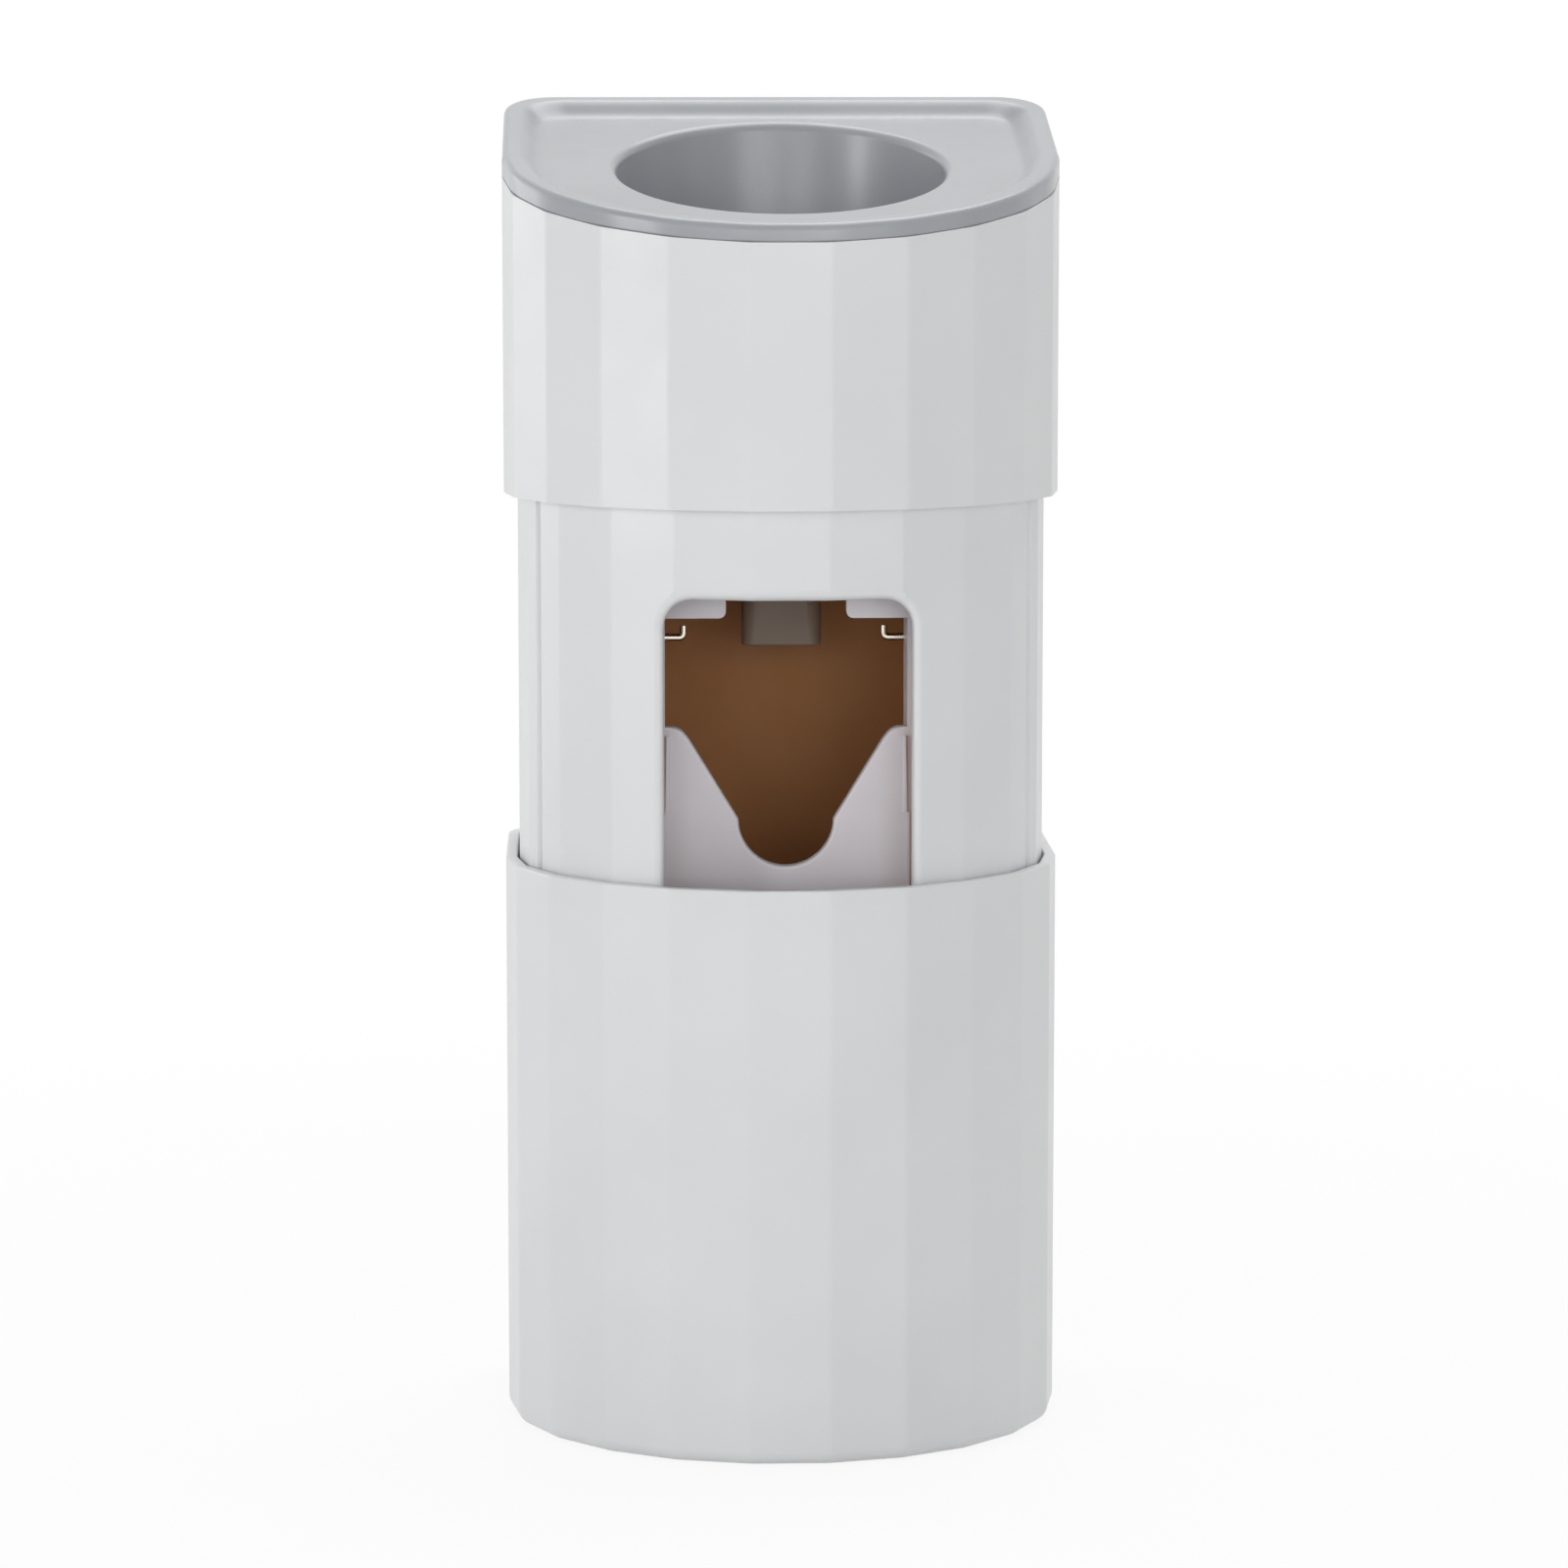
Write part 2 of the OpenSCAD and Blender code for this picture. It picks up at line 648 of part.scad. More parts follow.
module neck_seal() color(silicone) in_case() difference() {
    translate([0, 0, seal_z]) cylinder(seal_top_z - seal_z, r = seal_r);
    translate([0, 0, socket_z + socket_depth]) cylinder(seal_top_z - socket_z - socket_depth,
        r1 = socket_r, r2 = seal_r - seal_lip_w);
    translate([0, 0, socket_z]) cylinder(socket_depth + run_gap, r = socket_r);
    translate([0, 0, seal_z - over]) cylinder(seal_base_t + 2 * over, r = valve_hole_r);
}

module inlet_valve() color(clear_silicone) in_case()
    ring(valve_z, seal_z, flange_r, valve_hole_r);

module pump_tube() color(silicone) in_case() difference() {
    union() {
        translate([0, 0, tube_foot_z]) cylinder(valve_z - tube_foot_z, r = tube_r);
        translate([0, 0, deck_z]) cylinder(flange_t, r = flange_r);
        translate([0, 0, tube_foot_z]) cylinder(low_flange_t, r = low_flange_r);
    }
    translate([0, 0, tube_foot_z - over])
        cylinder(valve_z - tube_foot_z + 2 * over, r = tube_r - tube_t);
}

module outlet_nozzle() color(clear_silicone) in_case() difference() {
    union() {
        translate([0, 0, shelf_z]) cylinder(outlet_flange_t, r = low_flange_r);
        translate([0, 0, shelf_z - outlet_barrel_h])
            cylinder(outlet_barrel_h, r = outlet_barrel_r);
        translate([-outlet_w / 2, -outlet_d / 2, shelf_z - outlet_drop])
            cube([outlet_w, outlet_d, outlet_drop]);
    }
    translate([outlet_wall - outlet_w / 2, outlet_wall - outlet_d / 2,
        shelf_z - outlet_drop - over])
        cube([outlet_w - 2 * outlet_wall, outlet_d - 2 * outlet_wall,
            outlet_drop + outlet_flange_t + 2 * over]);
}

// Cap that holds the flanges of the outlet and of the tube down on the shelf
module nozzle_collar() color(white_skin) in_case() {
    ring(shelf_z, collar_top_z, collar_r, low_flange_r + fit_gap);
    ring(collar_z, collar_top_z, collar_r - collar_t / 2, tube_r + fit_gap);
}

// Half of the lever's front plate, drawn in x and z
module half_plate() polygon([[0, lever_foot_z], [lever_half, lever_foot_z],
    [lever_half, shoulder_z], [notch_mouth + arm_t, shoulder_z],
    [notch_mouth, shoulder_z - arm_t], [notch_r, notch_z + notch_r], [0, notch_z + notch_r]]);
module push_lever() color(milky) in_case() {
    upright(lever_y, lever_t) difference() {
        both_sides() half_plate();
        translate([0, notch_z + notch_r]) circle(notch_r);
    }
    upright(lever_y, lever_t) difference() {
        translate([-lever_half, tab_z]) square([2 * lever_half, bar_high_z - tab_z]);
        translate([-tab_gap / 2, tab_z - over]) square([tab_gap, tab_slot_h + over]);
    }
    // Two ribs between the arms, and the block that carries the press pad
    for (z = [bar_low_z, bar_high_z - lever_t]) translate([-lever_half, lever_y, z])
        cube([2 * lever_half, bar_back_y - lever_y, lever_t]);
    translate([-pad_half_w - pad_inset, lever_y, bar_low_z])
        cube([2 * (pad_half_w + pad_inset), bar_back_y - lever_y, bar_high_z - bar_low_z]);
    both_sides() {
        difference() {
            translate([lever_half - arm_t, 0, 0]) rotate([90, 0, 90]) linear_extrude(arm_t)
                union() {
                    polygon([[lever_y, lever_foot_z], [lever_y + arm_foot_w, lever_foot_z],
                        [arm_back_y, shoulder_z], [arm_back_y, pivot_z],
                        [pivot_y - ear_r, pivot_z], [lever_y, bar_high_z]]);
                    translate([pivot_y, pivot_z]) circle(ear_r);
                }
            rod_x(lever_half - arm_t - over, pivot_y, pivot_z, pin_r + run_gap,
                arm_t + 2 * over);
        }
        // Fine ridges down the front, stepping out below the notch's waist
        translate([lever_half - arm_t - ridge_w, lever_y - ridge_d, jog_z])
            cube([ridge_w, ridge_d + lever_t / 2, shoulder_z - arm_t - jog_z]);
        translate([lever_half - arm_t - ridge_w + ridge_jog, lever_y - ridge_d, lever_foot_z])
            cube([ridge_w, ridge_d + lever_t / 2, jog_z - lever_foot_z]);
    }
}

module press_pad() color(clear_silicone) in_case()
    translate([-pad_half_w, bar_back_y, bar_low_z + pad_inset])
        cube([2 * pad_half_w, -tube_r - fit_gap - bar_back_y,
            bar_high_z - bar_low_z - 2 * pad_inset]);

module right_pin() in_case() {
    rod_x(lever_half - arm_t - pin_proud, pivot_y, pivot_z, pin_r,
        cheek_x + frame_t - lever_half + arm_t + pin_proud);
    rod_x(cheek_x + frame_t, pivot_y, pivot_z, pin_head_r, pin_head_t);
}
module right_hinge_pin() color(steel) right_pin();
module left_hinge_pin() color(steel) mirror([1, 0, 0]) right_pin();

module right_spring() in_case() polyhedron(
    wire_rings(spring_path, wire_d / 2, spring_sides),
    wire_faces(len(spring_path), spring_sides));
module right_return_spring() color(steel) right_spring();
module left_return_spring() color(steel) mirror([1, 0, 0]) right_spring();

// Clips in the housing's sides, whose noses reach into the grooves beside the cover's runners
module cover_catches() color(milky) in_case() both_sides() {
    translate([side_x - housing_t - catch_t, groove_y - catch_plate_w / 2,
        catch_z - fit_gap])
        cube([catch_t, catch_plate_w, catch_h + 2 * fit_gap]);
    translate([side_x - housing_t - catch_t / 2, groove_y - catch_w / 2, catch_z])
        cube([housing_t - groove_depth + catch_gap + catch_t / 2, catch_w, catch_h]);
}

module stop_buffers() color("dimgray") in_case() both_sides()
    translate([side_x - groove_depth, groove_y - runner_w / 2, groove_foot_z])
        cube([groove_depth - catch_gap, runner_w, buffer_h]);

module back_plate_screws() color(steel) in_case() housing_screw_places() screw();
module frame_screws() color(steel) in_case() frame_screw_places() screw();

wall_plate();
adhesive_pad();
back_plate();
front_housing();
upper_shell();
top_tray();
sliding_cover();
throat_liner();
pump_frame();
seal_holder();
neck_seal();
inlet_valve();
pump_tube();
outlet_nozzle();
nozzle_collar();
push_lever();
press_pad();
left_hinge_pin();
right_hinge_pin();
left_return_spring();
right_return_spring();
cover_catches();
stop_buffers();
back_plate_screws();
frame_screws();
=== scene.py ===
# %% [markdown]
# # A wall-hung toothpaste dispenser with a push lever
# The dispenser hangs on a bathroom wall. A toothpaste tube stands neck down in the round well of
# the grey tray, and its neck sits in a silicone seal. A toothbrush pushed in at the window presses
# a milky lever with a V-shaped notch, the lever squeezes a silicone tube, and paste comes out
# above the bristles. The white cup at the bottom is a dust cover, drawn slid down here.
#
# The exact solids come from CAD and are the fixed frame. This script dresses them: it gives each
# one the rounded edges, fillets and surface that the moulded part has.

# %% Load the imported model
import math
import bmesh
import bpy
from bmesh.types import BMEdge, BMFace, BMVert
from mathutils import Matrix, Vector


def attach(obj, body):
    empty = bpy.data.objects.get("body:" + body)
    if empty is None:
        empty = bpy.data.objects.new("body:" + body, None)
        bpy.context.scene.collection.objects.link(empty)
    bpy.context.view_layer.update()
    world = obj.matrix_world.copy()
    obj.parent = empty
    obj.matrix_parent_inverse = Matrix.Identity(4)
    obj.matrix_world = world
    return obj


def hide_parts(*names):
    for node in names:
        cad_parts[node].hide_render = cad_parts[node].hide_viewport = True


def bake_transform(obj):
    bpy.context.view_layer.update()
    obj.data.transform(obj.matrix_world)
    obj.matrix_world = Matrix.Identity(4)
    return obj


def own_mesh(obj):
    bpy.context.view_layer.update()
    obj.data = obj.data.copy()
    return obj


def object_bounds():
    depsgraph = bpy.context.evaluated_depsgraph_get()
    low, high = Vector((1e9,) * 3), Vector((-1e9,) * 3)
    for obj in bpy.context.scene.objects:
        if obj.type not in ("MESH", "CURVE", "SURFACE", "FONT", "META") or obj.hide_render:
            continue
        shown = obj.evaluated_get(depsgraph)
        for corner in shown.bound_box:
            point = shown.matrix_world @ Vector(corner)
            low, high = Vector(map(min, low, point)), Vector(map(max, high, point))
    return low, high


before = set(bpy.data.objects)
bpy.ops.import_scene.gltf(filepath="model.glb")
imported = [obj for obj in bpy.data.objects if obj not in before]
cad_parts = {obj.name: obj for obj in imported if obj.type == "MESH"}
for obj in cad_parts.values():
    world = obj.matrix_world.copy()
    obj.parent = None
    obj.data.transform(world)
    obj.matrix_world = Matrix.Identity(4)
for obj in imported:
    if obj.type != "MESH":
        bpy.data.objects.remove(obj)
cad_low, cad_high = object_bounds()
MM_PER_M = 1000


def in_mm(lengths):
    """Lengths in metres as rounded millimetres, to print."""
    return [round(length * MM_PER_M, 1) for length in lengths]


print("CAD box, mm:", in_mm(cad_high - cad_low))

# %% [markdown]
# ## Working in millimetres
# Moulded parts are drawn in millimetres, so the shapes below are too, measured as in the CAD
# source: z from the underside of the closed cover and y from the axis of the round front. The
# last step of every piece moves its mesh to the frame, in metres. The object itself stays at the
# origin, unturned, so that a pattern on Object coordinates stays where it is put.

# %% From millimetres to the frame and back
AXIS_Y, FOOT_Z = -32.6, -102.0
TO_FRAME = Matrix.Scale(1 / MM_PER_M, 4) @ Matrix.Translation((0, AXIS_Y, FOOT_Z))
TO_CASE = TO_FRAME.inverted()
print("the case's axis and foot stand in the frame at, m:", TO_FRAME.translation[:])

# %% [markdown]
# ## Edges
# A mould can't give a knife edge, so every edge of a piece has a radius. A Bevel modifier gives
# one radius to all of them, unless each edge gets a weight. Here the bevel operator takes edges
# picked by the angle between their two faces, or by their place, and each kind gets its own.

# %% Measuring, picking and rounding edges
CREASE = 60  # degrees: a steeper fold is a real corner, not a line between two flats
NEAR = 0.01  # mm: two places closer than this are the same


def fold(edge):
    """Angle in degrees between the two faces of an edge."""
    return math.degrees(edge.calc_face_angle(0))


def middle(edge):
    """The point half way along an edge."""
    return (edge.verts[0].co + edge.verts[1].co) / 2


def along(edge, axis):
    """True for an edge that runs along x, y or z (0, 1 or 2)."""
    line = edge.verts[1].co - edge.verts[0].co
    return abs(line[axis]) > 0.99 * line.length


def edges_of(verts):
    """The edges that join the vertices of a set."""
    ring = set(verts)
    return [e for e in {e for v in verts for e in v.link_edges} if set(e.verts) <= ring]


def only(kind, elements):
    """The vertices, edges or faces among mixed elements of a bmesh."""
    return [element for element in elements if isinstance(element, kind)]


def round_off(bm, edges, radius, segments=3, clamp=True):
    """Rounds edges as a mould does, except those that an earlier bevel has used up. clamp makes
    the radius smaller where there is no room."""
    edges = [e for e in edges if e.is_valid]
    bmesh.ops.bevel(bm, geom=edges, offset=radius, offset_type="OFFSET", segments=segments,
                    profile=0.5, affect="EDGES", clamp_overlap=clamp, material=-1)


def round_corners(bm, verts, radius, segments):
    """Rounds the corners of a flat outline."""
    return bmesh.ops.bevel(bm, geom=verts, offset=radius, segments=segments, affect="VERTICES",
                           profile=0.5, material=-1)


def soften(bm, radius, fold_from=50, segments=2):
    """Rounds what is still sharp on the outside of a shape."""
    round_off(bm, [e for e in bm.edges if fold(e) > fold_from and e.is_convex], radius, segments)


# %% [markdown]
# ## Finishing a piece
# A bmesh is only a shape. To be a piece of the model it becomes an object with a material, rides
# on a body of the CAD model, and the CAD node it stands for is hidden. Its faces shade smoothly
# except across steep folds. A Weighted Normal modifier then lets the large flats keep their own
# direction, so that only the rounded strips between them shade softly.

# %% Finishing a piece
SHARP = 38  # degrees: a steeper fold is shaded as an edge
FLATS_WEIGHT = 90  # 50 is even-handed, and above it large faces count for more


def add_object(name, data):
    """Puts a mesh, a lamp or a camera into the scene."""
    made = bpy.data.objects.new(name, data)
    bpy.context.scene.collection.objects.link(made)
    return made


def finish_piece(bm, name, body, material, stands_for, closed_by_hand=True):
    """Turns a bmesh in millimetres into a piece that rides on a CAD body. closed_by_hand is for
    shapes made here: a CAD copy is already merged, and its faces point outwards."""
    if closed_by_hand:
        bmesh.ops.remove_doubles(bm, verts=bm.verts, dist=0.001)
        bmesh.ops.recalc_face_normals(bm, faces=bm.faces)
    for face in bm.faces:
        face.smooth = True
    for edge in bm.edges:
        edge.smooth = fold(edge) < SHARP
    bmesh.ops.transform(bm, matrix=TO_FRAME, verts=bm.verts)
    mesh = bpy.data.meshes.new(name)
    open_edges = sum(len(edge.link_faces) != 2 for edge in bm.edges)
    bm.to_mesh(mesh)
    bm.free()
    piece = add_object(name, mesh)
    mesh.materials.append(material)
    flats_win = piece.modifiers.new("flats win", "WEIGHTED_NORMAL")
    flats_win.keep_sharp = True
    flats_win.weight = FLATS_WEIGHT
    if body:
        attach(piece, body)
    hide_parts(*stands_for)
    print(f"{name}: {len(mesh.polygons)} faces, {open_edges} open edges, size mm",
          in_mm(piece.dimensions))
    return piece


# %% [markdown]
# ## Colours and nodes
# Colours are written as they look on a screen, in sRGB hex, and one function turns them to the
# linear values that shaders take. One small function adds a node, sets it and links it.

# %% Node helpers
def linear(hex_colour):
    """An sRGB hex colour as linear red, green, blue and alpha, by the curve of the standard."""
    parts = [int(hex_colour[i:i + 2], 16) / 255 for i in (1, 3, 5)]
    return [p / 12.92 if p <= 0.04045 else ((p + 0.055) / 1.055) ** 2.4 for p in parts] + [1.0]


def add_node(tree, kind, values=None, links=None, stops=()):
    """Adds a node. values sets its properties and inputs, links joins its inputs to outputs, and
    stops gives a colour ramp its positions and hex colours."""
    node = tree.nodes.new("ShaderNode" + kind)
    for key, value in (values or {}).items():
        if isinstance(key, str) and hasattr(node, key):
            setattr(node, key, value)
        else:
            node.inputs[key].default_value = value
    for key, output in (links or {}).items():
        tree.links.new(output, node.inputs[key])
    for index, (position, hex_colour) in enumerate(stops):
        node.color_ramp.elements[index].position = position
        node.color_ramp.elements[index].color = linear(hex_colour)
    return node


def new_material(name):
    """An empty material, its node tree, and its surface coordinates in millimetres."""
    material = bpy.data.materials.new(name)
    material.use_nodes = True
    tree = material.node_tree
    tree.nodes.clear()
    place = add_node(tree, "TexCoord").outputs["Object"]
    place = add_node(tree, "Mapping", {"Scale": (MM_PER_M,) * 3}, {"Vector": place})
    print("material:", name)
    return material, tree, place.outputs["Vector"]


# %% [markdown]
# ## What every surface has
# No real surface is even. In each material one pattern moves the tone between two colours, one
# moves the roughness a little up and down, and one stands out as a fine relief. The patterns
# differ from finish to finish, but how they reach the shader doesn't, so that is written once.

# %% From patterns to a surface
PATTERN_LOW, PATTERN_HIGH = 0.3, 0.7  # nearly all of a noise lies between these


def lay_surface(tree, settings, gloss, roughness, swing, relief, depth_mm, tone=None, stops=()):
    """Adds the shader and its output. The gloss pattern takes the roughness from its value less
    swing[0] to its value plus swing[1], the relief pattern is depth_mm deep, and the tone pattern
    runs through the stops of a colour ramp."""
    patterns = {}
    if stops:
        colour = add_node(tree, "ValToRGB", links={"Fac": tone}, stops=stops)
        patterns["Base Color"] = colour.outputs["Color"]
    uneven = add_node(tree, "MapRange", {"From Min": PATTERN_LOW, "From Max": PATTERN_HIGH,
                                         "To Min": roughness - swing[0],
                                         "To Max": roughness + swing[1]}, {"Value": gloss})
    patterns["Roughness"] = uneven.outputs["Result"]
    bump = add_node(tree, "Bump", {"Strength": 1.0, "Distance": depth_mm / MM_PER_M},
                    {"Height": relief})
    patterns["Normal"] = bump.outputs["Normal"]
    shader = add_node(tree, "BsdfPrincipled", settings, patterns)
    add_node(tree, "OutputMaterial", links={"Surface": shader.outputs["BSDF"]})


# %% [markdown]
# ## Moulded plastics
# Five of the finishes are injection-moulded plastic: four are made here, and the fifth, acetal,
# comes with the silicones below. What the eye reads in such a surface is a very slight drift of
# tone where the melt flowed, a gloss that is never quite even, and the fine grain that the
# mould's steel left. Each of these is a noise of a real size: the drift is tens of millimetres
# long, the gloss patches a few, the grain a few tenths. The grey tray is dull seen from above,
# but at a low angle its skin still mirrors a lamp. A thin clear coat over the grain gives that.

# %% Moulded plastics
DRIFT_MM, GLOSS_MM = 24, 6
PLASTIC_SWING = (0.04, 0.04)
SKIN_ROUGHNESS = 0.3


def moulded(name, dark, light, roughness, grain_mm, grain_depth_mm, ior=1.54, glow=0.0,
            glow_mm=(1.5, 1.2, 1.0), skin=0.0):
    """Moulded plastic. glow is how much light enters it, to come out again glow_mm away in red,
    green and blue, and skin is how much of the clear coat it has."""
    material, tree, place = new_material(name)
    drift = add_node(tree, "TexNoise", {"Scale": 1 / DRIFT_MM, "Detail": 2}, {"Vector": place})
    gloss = add_node(tree, "TexNoise", {"Scale": 1 / GLOSS_MM, "Detail": 3}, {"Vector": place})
    grain = add_node(tree, "TexNoise", {"Scale": 1 / grain_mm, "Detail": 2}, {"Vector": place})
    lay_surface(tree, {"IOR": ior, "Subsurface Weight": glow, "Subsurface Scale": 1 / MM_PER_M,
                       "Subsurface Radius": glow_mm, "Coat Weight": skin,
                       "Coat Roughness": SKIN_ROUGHNESS},
                gloss.outputs["Fac"], roughness, PLASTIC_SWING, grain.outputs["Fac"],
                grain_depth_mm, drift.outputs["Fac"], [(0.35, dark), (0.65, light)])
    return material


# Satin white ABS, off a lightly blasted mould: cool white, soft highlights
white_abs = moulded("satin_white_abs", "#DADBDC", "#DDDEDF", 0.34, 0.4, 0.004)
# Grey ABS off a spark-eroded mould: its grain takes the shine away, all but at a low angle
grey_abs = moulded("spark_textured_grey_abs", "#92959A", "#999CA1", 0.34, 0.35, 0.012, skin=0.6)
# Milky polypropylene, smooth mould, thick enough to glow a little
milky_pp = moulded("milky_polypropylene", "#D6D2D7", "#DCD8DD", 0.34, 0.5, 0.003, ior=1.49,
                   glow=0.25, glow_mm=(2.0, 1.8, 2.0))
# Matt brown on the inner works, so that they hide behind the window. The brown is painted warm
# light: it stands in for the light that reaches them through the white shells. It looks darker
# than it is written, because little light gets in there
warm_light_brown = moulded("matt_brown_painted_light", "#B3773D", "#BA7D42", 0.6, 0.4, 0.008)

# %% [markdown]
# ## The outline of the case
# Tray, shell, housing and cover share one outline: eleven flats round the front, straight sides
# and two rounded back corners. A 22-sided circle squeezed to the case's width and depth gives the
# flats exactly. Its back half is cut away, the two ends are drawn back, and the corners are
# rounded by a vertex bevel. A shear then lays the outline on a slanted plane, as the cut under
# the tray does.

# %% One loop of the outline
CASE_W = 76.0  # width of the case
FRONT = 35.0  # from the axis to the front
SIDE = 31.0  # from the axis back to the back wall
CORNER = 7.0  # radius of the back corners
FLATS = 11  # round the front


def slanted(height, tilt):
    """A shear that lays an outline height up at the case's front, rising tilt degrees backwards."""
    slope = math.tan(math.radians(tilt))
    return Matrix(((1, 0, 0, 0), (0, 1, 0, 0), (0, slope, 1, FRONT * slope + height), (0, 0, 0, 1)))


def case_loop(bm, inset, height, tilt=0.0, soft=0.5):
    """Edges of the case's outline, inset from its skin, on a plane that is height up at the
    front and rises to the back. soft rounds the corners between the flats."""
    ring = bmesh.ops.create_circle(bm, segments=2 * FLATS, radius=1)["verts"]
    bmesh.ops.rotate(bm, verts=ring, cent=(0, 0, 0), matrix=Matrix.Rotation(math.pi / 2, 3, "Z"))
    bmesh.ops.scale(bm, verts=ring, vec=(CASE_W / 2 - inset, FRONT - inset, 1))
    bmesh.ops.delete(bm, geom=[v for v in ring if v.co.y > NEAR], context="VERTS")
    ring = [v for v in ring if v.is_valid]
    ends = [v for v in ring if abs(v.co.y) < NEAR]
    back = bmesh.ops.extrude_vert_indiv(bm, verts=ends)["verts"]
    bmesh.ops.translate(bm, verts=back, vec=(0, SIDE - inset, 0))
    sides = edges_of(ring + back) + [bm.edges.new(back)]
    bmesh.ops.contextual_create(bm, geom=sides)
    front = [v for v in ring if v not in ends]
    round_corners(bm, back, CORNER - inset / 2, 8)
    round_corners(bm, front, soft, 3)
    face = ends[0].link_faces[0]
    bmesh.ops.transform(bm, matrix=slanted(height, tilt), verts=face.verts)
    edges = list(face.edges)
    bmesh.ops.delete(bm, geom=[face], context="FACES_ONLY")
    return edges


def skin_between(bm, *loops):
    """Skins a row of loops with faces, each to the next."""
    for one, other in zip(loops, loops[1:]):
        bmesh.ops.bridge_loops(bm, edges=one + other)


bm = bmesh.new()
print("edges of one outline:", len(case_loop(bm, 0, 0)))
bm.free()

# %% [markdown]
# ## Upper shell
# The fixed white ring under the tray. Its top is cut at a slant, and its back wall has a window
# that the wall plate reaches in through. Four loops make the wall, outer and inner, and bridging
# them round gives a closed ring with the true wall thickness, which a Solidify modifier would
# get wrong on the slanted top. The window in the back is cut by four planes in the two back
# faces alone, and its sides are bridged.

# %% Cutting a window
def with_rim(faces):
    """Faces with their edges and corners, as an operator that moves or cuts them needs."""
    return faces + list({e for f in faces for e in f.edges} | {v for f in faces for v in f.verts})


def sliced(bm, faces, place, direction):
    """Cuts faces along a plane, and returns those on both sides of it."""
    made = bmesh.ops.bisect_plane(bm, geom=with_rim(faces), dist=0.001, plane_co=place,
                                  plane_no=direction)["geom"]
    return only(BMFace, made)


def cut_window(bm, y_planes, half_w, low, high, corner):
    """Cuts a rounded window through a pair of flat faces that look along y."""
    for y in y_planes:
        faces = [f for f in bm.faces if abs(f.normal.y) > 0.99
                 and abs(f.calc_center_median().y - y) < 5 * NEAR]
        for place, direction in (((half_w, 0, 0), (1, 0, 0)), ((-half_w, 0, 0), (1, 0, 0)),
                                 ((0, 0, low), (0, 0, 1)), ((0, 0, high), (0, 0, 1))):
            faces = sliced(bm, faces, place, direction)
        inside = [f for f in faces if abs(f.calc_center_median().x) < half_w
                  and low < f.calc_center_median().z < high]
        bmesh.ops.delete(bm, geom=inside, context="FACES")
    rim = [e for e in bm.edges if len(e.link_faces) == 1]
    jambs = bmesh.ops.bridge_loops(bm, edges=rim)["faces"]
    turns = {e for f in jambs for e in f.edges
             if all(g in jambs for g in e.link_faces) and fold(e) > CREASE}
    round_off(bm, turns, corner, 6)


# %% Upper shell
WALL = 1.6  # wall of the shell and of the cover
SHELL_Z = 78.3  # lower edge of the shell
SEAM_Z = 113.4  # the seam under the tray, at the case's front
SEAM_TILT = 12.6  # degrees that the seam rises to the back
BACK_HALF_W, BACK_LOW, BACK_HIGH, BACK_CORNER = 27, 80, 115, 4

bm = bmesh.new()
outer_low = case_loop(bm, 0, SHELL_Z)
outer_top = case_loop(bm, 0, SEAM_Z, SEAM_TILT)
inner_top = case_loop(bm, WALL, SEAM_Z, SEAM_TILT)
inner_low = case_loop(bm, WALL, SHELL_Z)
skin_between(bm, outer_low, outer_top, inner_top, inner_low, outer_low)
bmesh.ops.recalc_face_normals(bm, faces=bm.faces)
cut_window(bm, (SIDE, SIDE - WALL), BACK_HALF_W, BACK_LOW, BACK_HIGH, BACK_CORNER)
round_off(bm, [e for e in bm.edges if fold(e) > CREASE], 0.3)
finish_piece(bm, "upper_shell_moulding", "dispenser", white_abs, ["upper_shell"])

# %% [markdown]
# ## Dust cover
# A deep cup with the same outline, which slides down off the brush window. It is a stack of
# loops too: a small chamfer under it, the outer wall, the rim, the inner wall and the floor. The
# rim and the chamfer are rounded, because a hand takes hold of them. Inside each side wall a
# small runner keeps the cup in its groove.

# %% Dust cover
COVER_H, COVER_FLOOR, CHAMFER = 78.0, 2.0, 1.2
TRAVEL = 50.0  # how far it has slid down
RUNNER_SIZE, RUNNER_X, RUNNER_Y, RUNNER_Z = (1.8, 2.4, 6), 36.3, 10, 73


def block(bm, size, place):
    """A block with its middle at a place. Returns its corners."""
    verts = bmesh.ops.create_cube(bm, size=1)["verts"]
    bmesh.ops.scale(bm, verts=verts, vec=size)
    bmesh.ops.translate(bm, verts=verts, vec=place)
    return verts


bm = bmesh.new()
foot = case_loop(bm, CHAMFER, 0)
hem = case_loop(bm, 0, CHAMFER)
rim_out = case_loop(bm, 0, COVER_H)
rim_in = case_loop(bm, WALL, COVER_H)
floor_in = case_loop(bm, WALL, COVER_FLOOR)
skin_between(bm, foot, hem, rim_out, rim_in, floor_in)
for loop in (foot, floor_in):
    bmesh.ops.contextual_create(bm, geom=loop)
bmesh.ops.recalc_face_normals(bm, faces=bm.faces)
round_off(bm, foot + hem, 0.7)
rim_edges = [e for e in bm.edges if fold(e) > CREASE and e.verts[0].co.z > COVER_H / 2]
round_off(bm, rim_edges, 0.35)
for side in (-1, 1):
    runner = block(bm, RUNNER_SIZE, (side * RUNNER_X, RUNNER_Y, RUNNER_Z))
    round_off(bm, edges_of(runner), 0.3)
bmesh.ops.translate(bm, verts=bm.verts, vec=(0, 0, -TRAVEL))
finish_piece(bm, "dust_cover_cup", "cover", white_abs, ["sliding_cover"])

